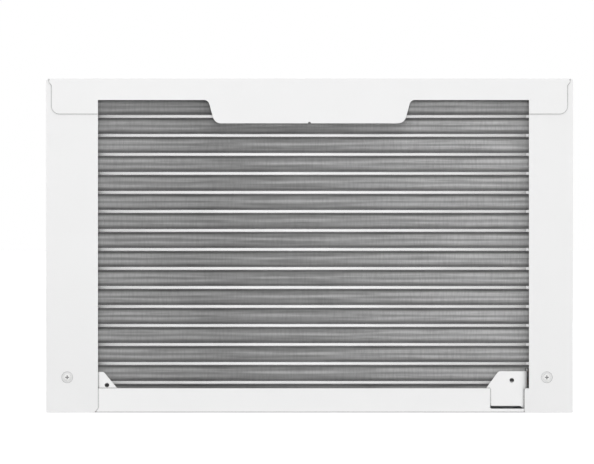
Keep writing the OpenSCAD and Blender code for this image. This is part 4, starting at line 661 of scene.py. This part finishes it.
# %% Foam rubber, and the two strips
epdm, shader, place = surface("black_foam_rubber", "#222325", 0.85)
cut_cells = add(epdm, "TexVoronoi", {"Vector": place, "Scale": 1 / (1.0 * MM)})
tone = add(epdm, "ValToRGB", {"Fac": cut_cells}, stops=[(0.1, "#191A1B"), (0.6, "#2B2C2E")])
detail(epdm, shader, tone, cut_cells, 0.3 * MM, cut_cells, 0.06, strength=0.5)

SEAL_INNER, SEAL_OUTER = 1.9 * MM, 14 * MM     # a strip's sides, from the side of the core
SEAL_FOOT, SEAL_HEAD = 30 * MM, 354 * MM
seal_low_y, seal_high_y = OUTDOOR_ROW[0] + 4.6 * MM, plate_rear_y - 0.2 * MM
# The strips are partly a seal and partly painted shade: their black fills the dark gap beside the coil.
for side, plate_x in (("neg", core_low[0]), ("pos", core_high[0])):
    outwards = np.sign(plate_x)
    across = sorted((plate_x + outwards * SEAL_INNER, plate_x + outwards * SEAL_OUTER))
    squeezed_strip("condenser_seal_" + side, (across[0], seal_low_y, SEAL_FOOT),
                   (across[1], seal_high_y, SEAL_HEAD), epdm)

# %% [markdown]
# ## Marks on the keys
# Keys are pad printed: a soft pad lays a film of grey ink a few hundredths of a millimetre thick.
# The marks are plain signs that any maker uses: a ring and bar for power, triangles for the set
# temperature, and bars or rings for the rest. A picture or a mask would blur close up. Every sign is
# made of flat strips, each a line of stations with a lower and an upper point, and a Solidify
# modifier gives the film its thickness.

# %% Ink
INK = 0.04 * MM
ink, shader, place = surface("grey_pad_printing_ink", "#5A5E62", 0.5)
cover = add(ink, "TexNoise", {"Vector": place, "Scale": 1 / (0.8 * MM), "Detail": 3.0})
tone = add(ink, "ValToRGB", {"Fac": cover}, stops=[(0.3, "#54585C"), (0.7, "#666A6E")])
detail(ink, shader, tone, cover, 0.01 * MM, cover, 0.06)
print(ink.name, INK / MM, "mm thick")

# %% Strips for the signs
def bar(x, z, width, height):
    """A rectangle centred at (x, z), as a strip of two stations. Sizes are in millimetres."""
    return np.array([[(x + side * width / 2, z - height / 2), (x + side * width / 2, z + height / 2)]
                     for side in (-1, 1)])


def arc(inner, outer, start, end, count=28):
    """A flat arc between two radii: r * (sin a, cos a), for a from start to end degrees."""
    a = np.radians(np.linspace(start, end, count))
    return np.stack([np.sin(a), np.cos(a)], -1)[:, None, :] * np.array([inner, outer])[None, :, None]


def arrow(way):
    """A triangle 4.4 mm wide that points up (1) or down (-1), with corners 0.1 mm blunt."""
    base, tip, blunt = -1.6, 2.0, -1.5
    heights = [(base, blunt), (base, tip), (base, blunt)]
    return np.array([[(x, z) for z in sorted((low * way, high * way))]
                     for x, (low, high) in zip((-2.2, 0, 2.2), heights)])

# %% Marks on their keys
def mark(key, *strips):
    """Joins strips into one mark in the middle of the key's front face, and rides it on the key."""
    low, high = (np.array(corner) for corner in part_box("button_" + key))
    middle = (low + high) / 2
    flat = np.concatenate([strip.reshape(-1, 2) for strip in strips]) * MM
    points = np.stack([middle[0] + flat[:, 0], np.full(len(flat), low[1] - INK), middle[2] + flat[:, 1]], -1)
    starts = np.cumsum([0] + [2 * len(strip) for strip in strips])
    faces = np.concatenate([quads(len(strip), 2) + start for strip, start in zip(strips, starts)])
    made = piece(key + "_mark", points, faces.tolist(), "key_" + key, ink, smooth=False)
    film = made.modifiers.new("film", "SOLIDIFY")
    film.thickness = INK
    return made


mark("power", arc(2.6, 3.3, 35, 325), bar(0, 2.2, 0.7, 3.2))
mark("temp_up", arrow(1))
mark("temp_down", arrow(-1))
mark("mode", bar(-2.0, 0, 2.4, 0.8), bar(2.0, 0, 2.4, 0.8))
mark("fan", *[bar(0, 2.0 * i - 2.0, 2.0 + 1.6 * i, 0.8) for i in range(3)])
mark("saver", arc(1.5, 2.2, 0, 270))
mark("timer", arc(1.8, 2.4, 0, 359), bar(0.5, 0, 1.4, 0.5))

# %% [markdown]
# ## Light and floor
# Soft, even light shows white sheet metal best: the world fills from all round, one large lamp
# hangs overhead and two smaller ones stand behind and before the case. More light would turn the
# floor white, but the white case with it. So the floor is pale and keeps the object's shadow, and
# only what the camera and reflections see of it, and of the world, is lifted to white.

# %% World
def seen_directly(owner):
    """1 for camera, glossy and transmission rays, which show the white surroundings, else 0."""
    rays = add(owner, "LightPath").outputs
    first = add(owner, "Math", {0: rays["Is Camera Ray"], 1: rays["Is Glossy Ray"]}, operation="ADD")
    return add(owner, "Math", {0: first, 1: rays["Is Transmission Ray"]}, operation="ADD", use_clamp=True)


WORLD_LEVEL = 0.55
world = bpy.data.worlds.new("studio")
bpy.context.scene.world = world
world.use_nodes = True
sky = world.node_tree.nodes["Background"]
sky.inputs["Color"].default_value = (1, 1, 1, 1)
level = add(world, "MapRange", {"Value": seen_directly(world), "To Min": WORLD_LEVEL})
world.node_tree.links.new(level.outputs["Result"], sky.inputs["Strength"])
print(world.name, "lights with", WORLD_LEVEL, "and shows as 1")

# %% Lamps, with their power in watts, size in metres, place, and turn in degrees
for name, watts, size, place, turn in [
    ("overhead_softbox", 20, 2.4, (0.0, 0.6, 2.5), (-13, 0, 0)),
    ("rear_softbox", 29, 2.2, (0.2, 3.2, 0.8), (-79, 0, -4)),
    ("front_softbox", 22, 2.0, (-1.2, -2.8, 1.2), (68, 0, -23)),
]:
    lamp = bpy.data.objects.new(name, bpy.data.lights.new(name, "AREA"))
    lamp.data.energy = watts
    lamp.data.size = size
    lamp.location = place
    lamp.rotation_euler = np.radians(turn)
    bpy.context.scene.collection.objects.link(lamp)
    print(name, watts, "W")

# %% Floor
FLOOR_HALF = 30                    # metres
FLOOR_Z = -0.4 * MM                # just below the pan, so that the two surfaces never coincide
FLOOR_LIFT = 0.58                  # light that the camera sees on top of what the paint sends back
corners = np.array([(-1, -1, 0), (1, -1, 0), (1, 1, 0), (-1, 1, 0)]) * FLOOR_HALF + (0, 0, FLOOR_Z)
floor_mesh = bpy.data.meshes.new("floor")
floor_mesh.from_pydata(corners, [], [(0, 1, 2, 3)])
floor = bpy.data.objects.new("floor", floor_mesh)
bpy.context.scene.collection.objects.link(floor)
floor_paint, paint, _ = surface("matt_white_floor_paint", "#E6E6E6", 0.9)
lift = add(floor_paint, "MapRange", {"Value": seen_directly(floor_paint), "To Max": FLOOR_LIFT})
floor_paint.node_tree.links.new(lift.outputs["Result"], paint.inputs["Emission Strength"])
paint.inputs["Emission Color"].default_value = (1, 1, 1, 1)
floor_mesh.materials.append(floor_paint)
print(floor.name, 2 * FLOOR_HALF, "m wide")

# %% Colours as written
bpy.context.scene.view_settings.view_transform = "Standard"
print("view transform", bpy.context.scene.view_settings.view_transform)
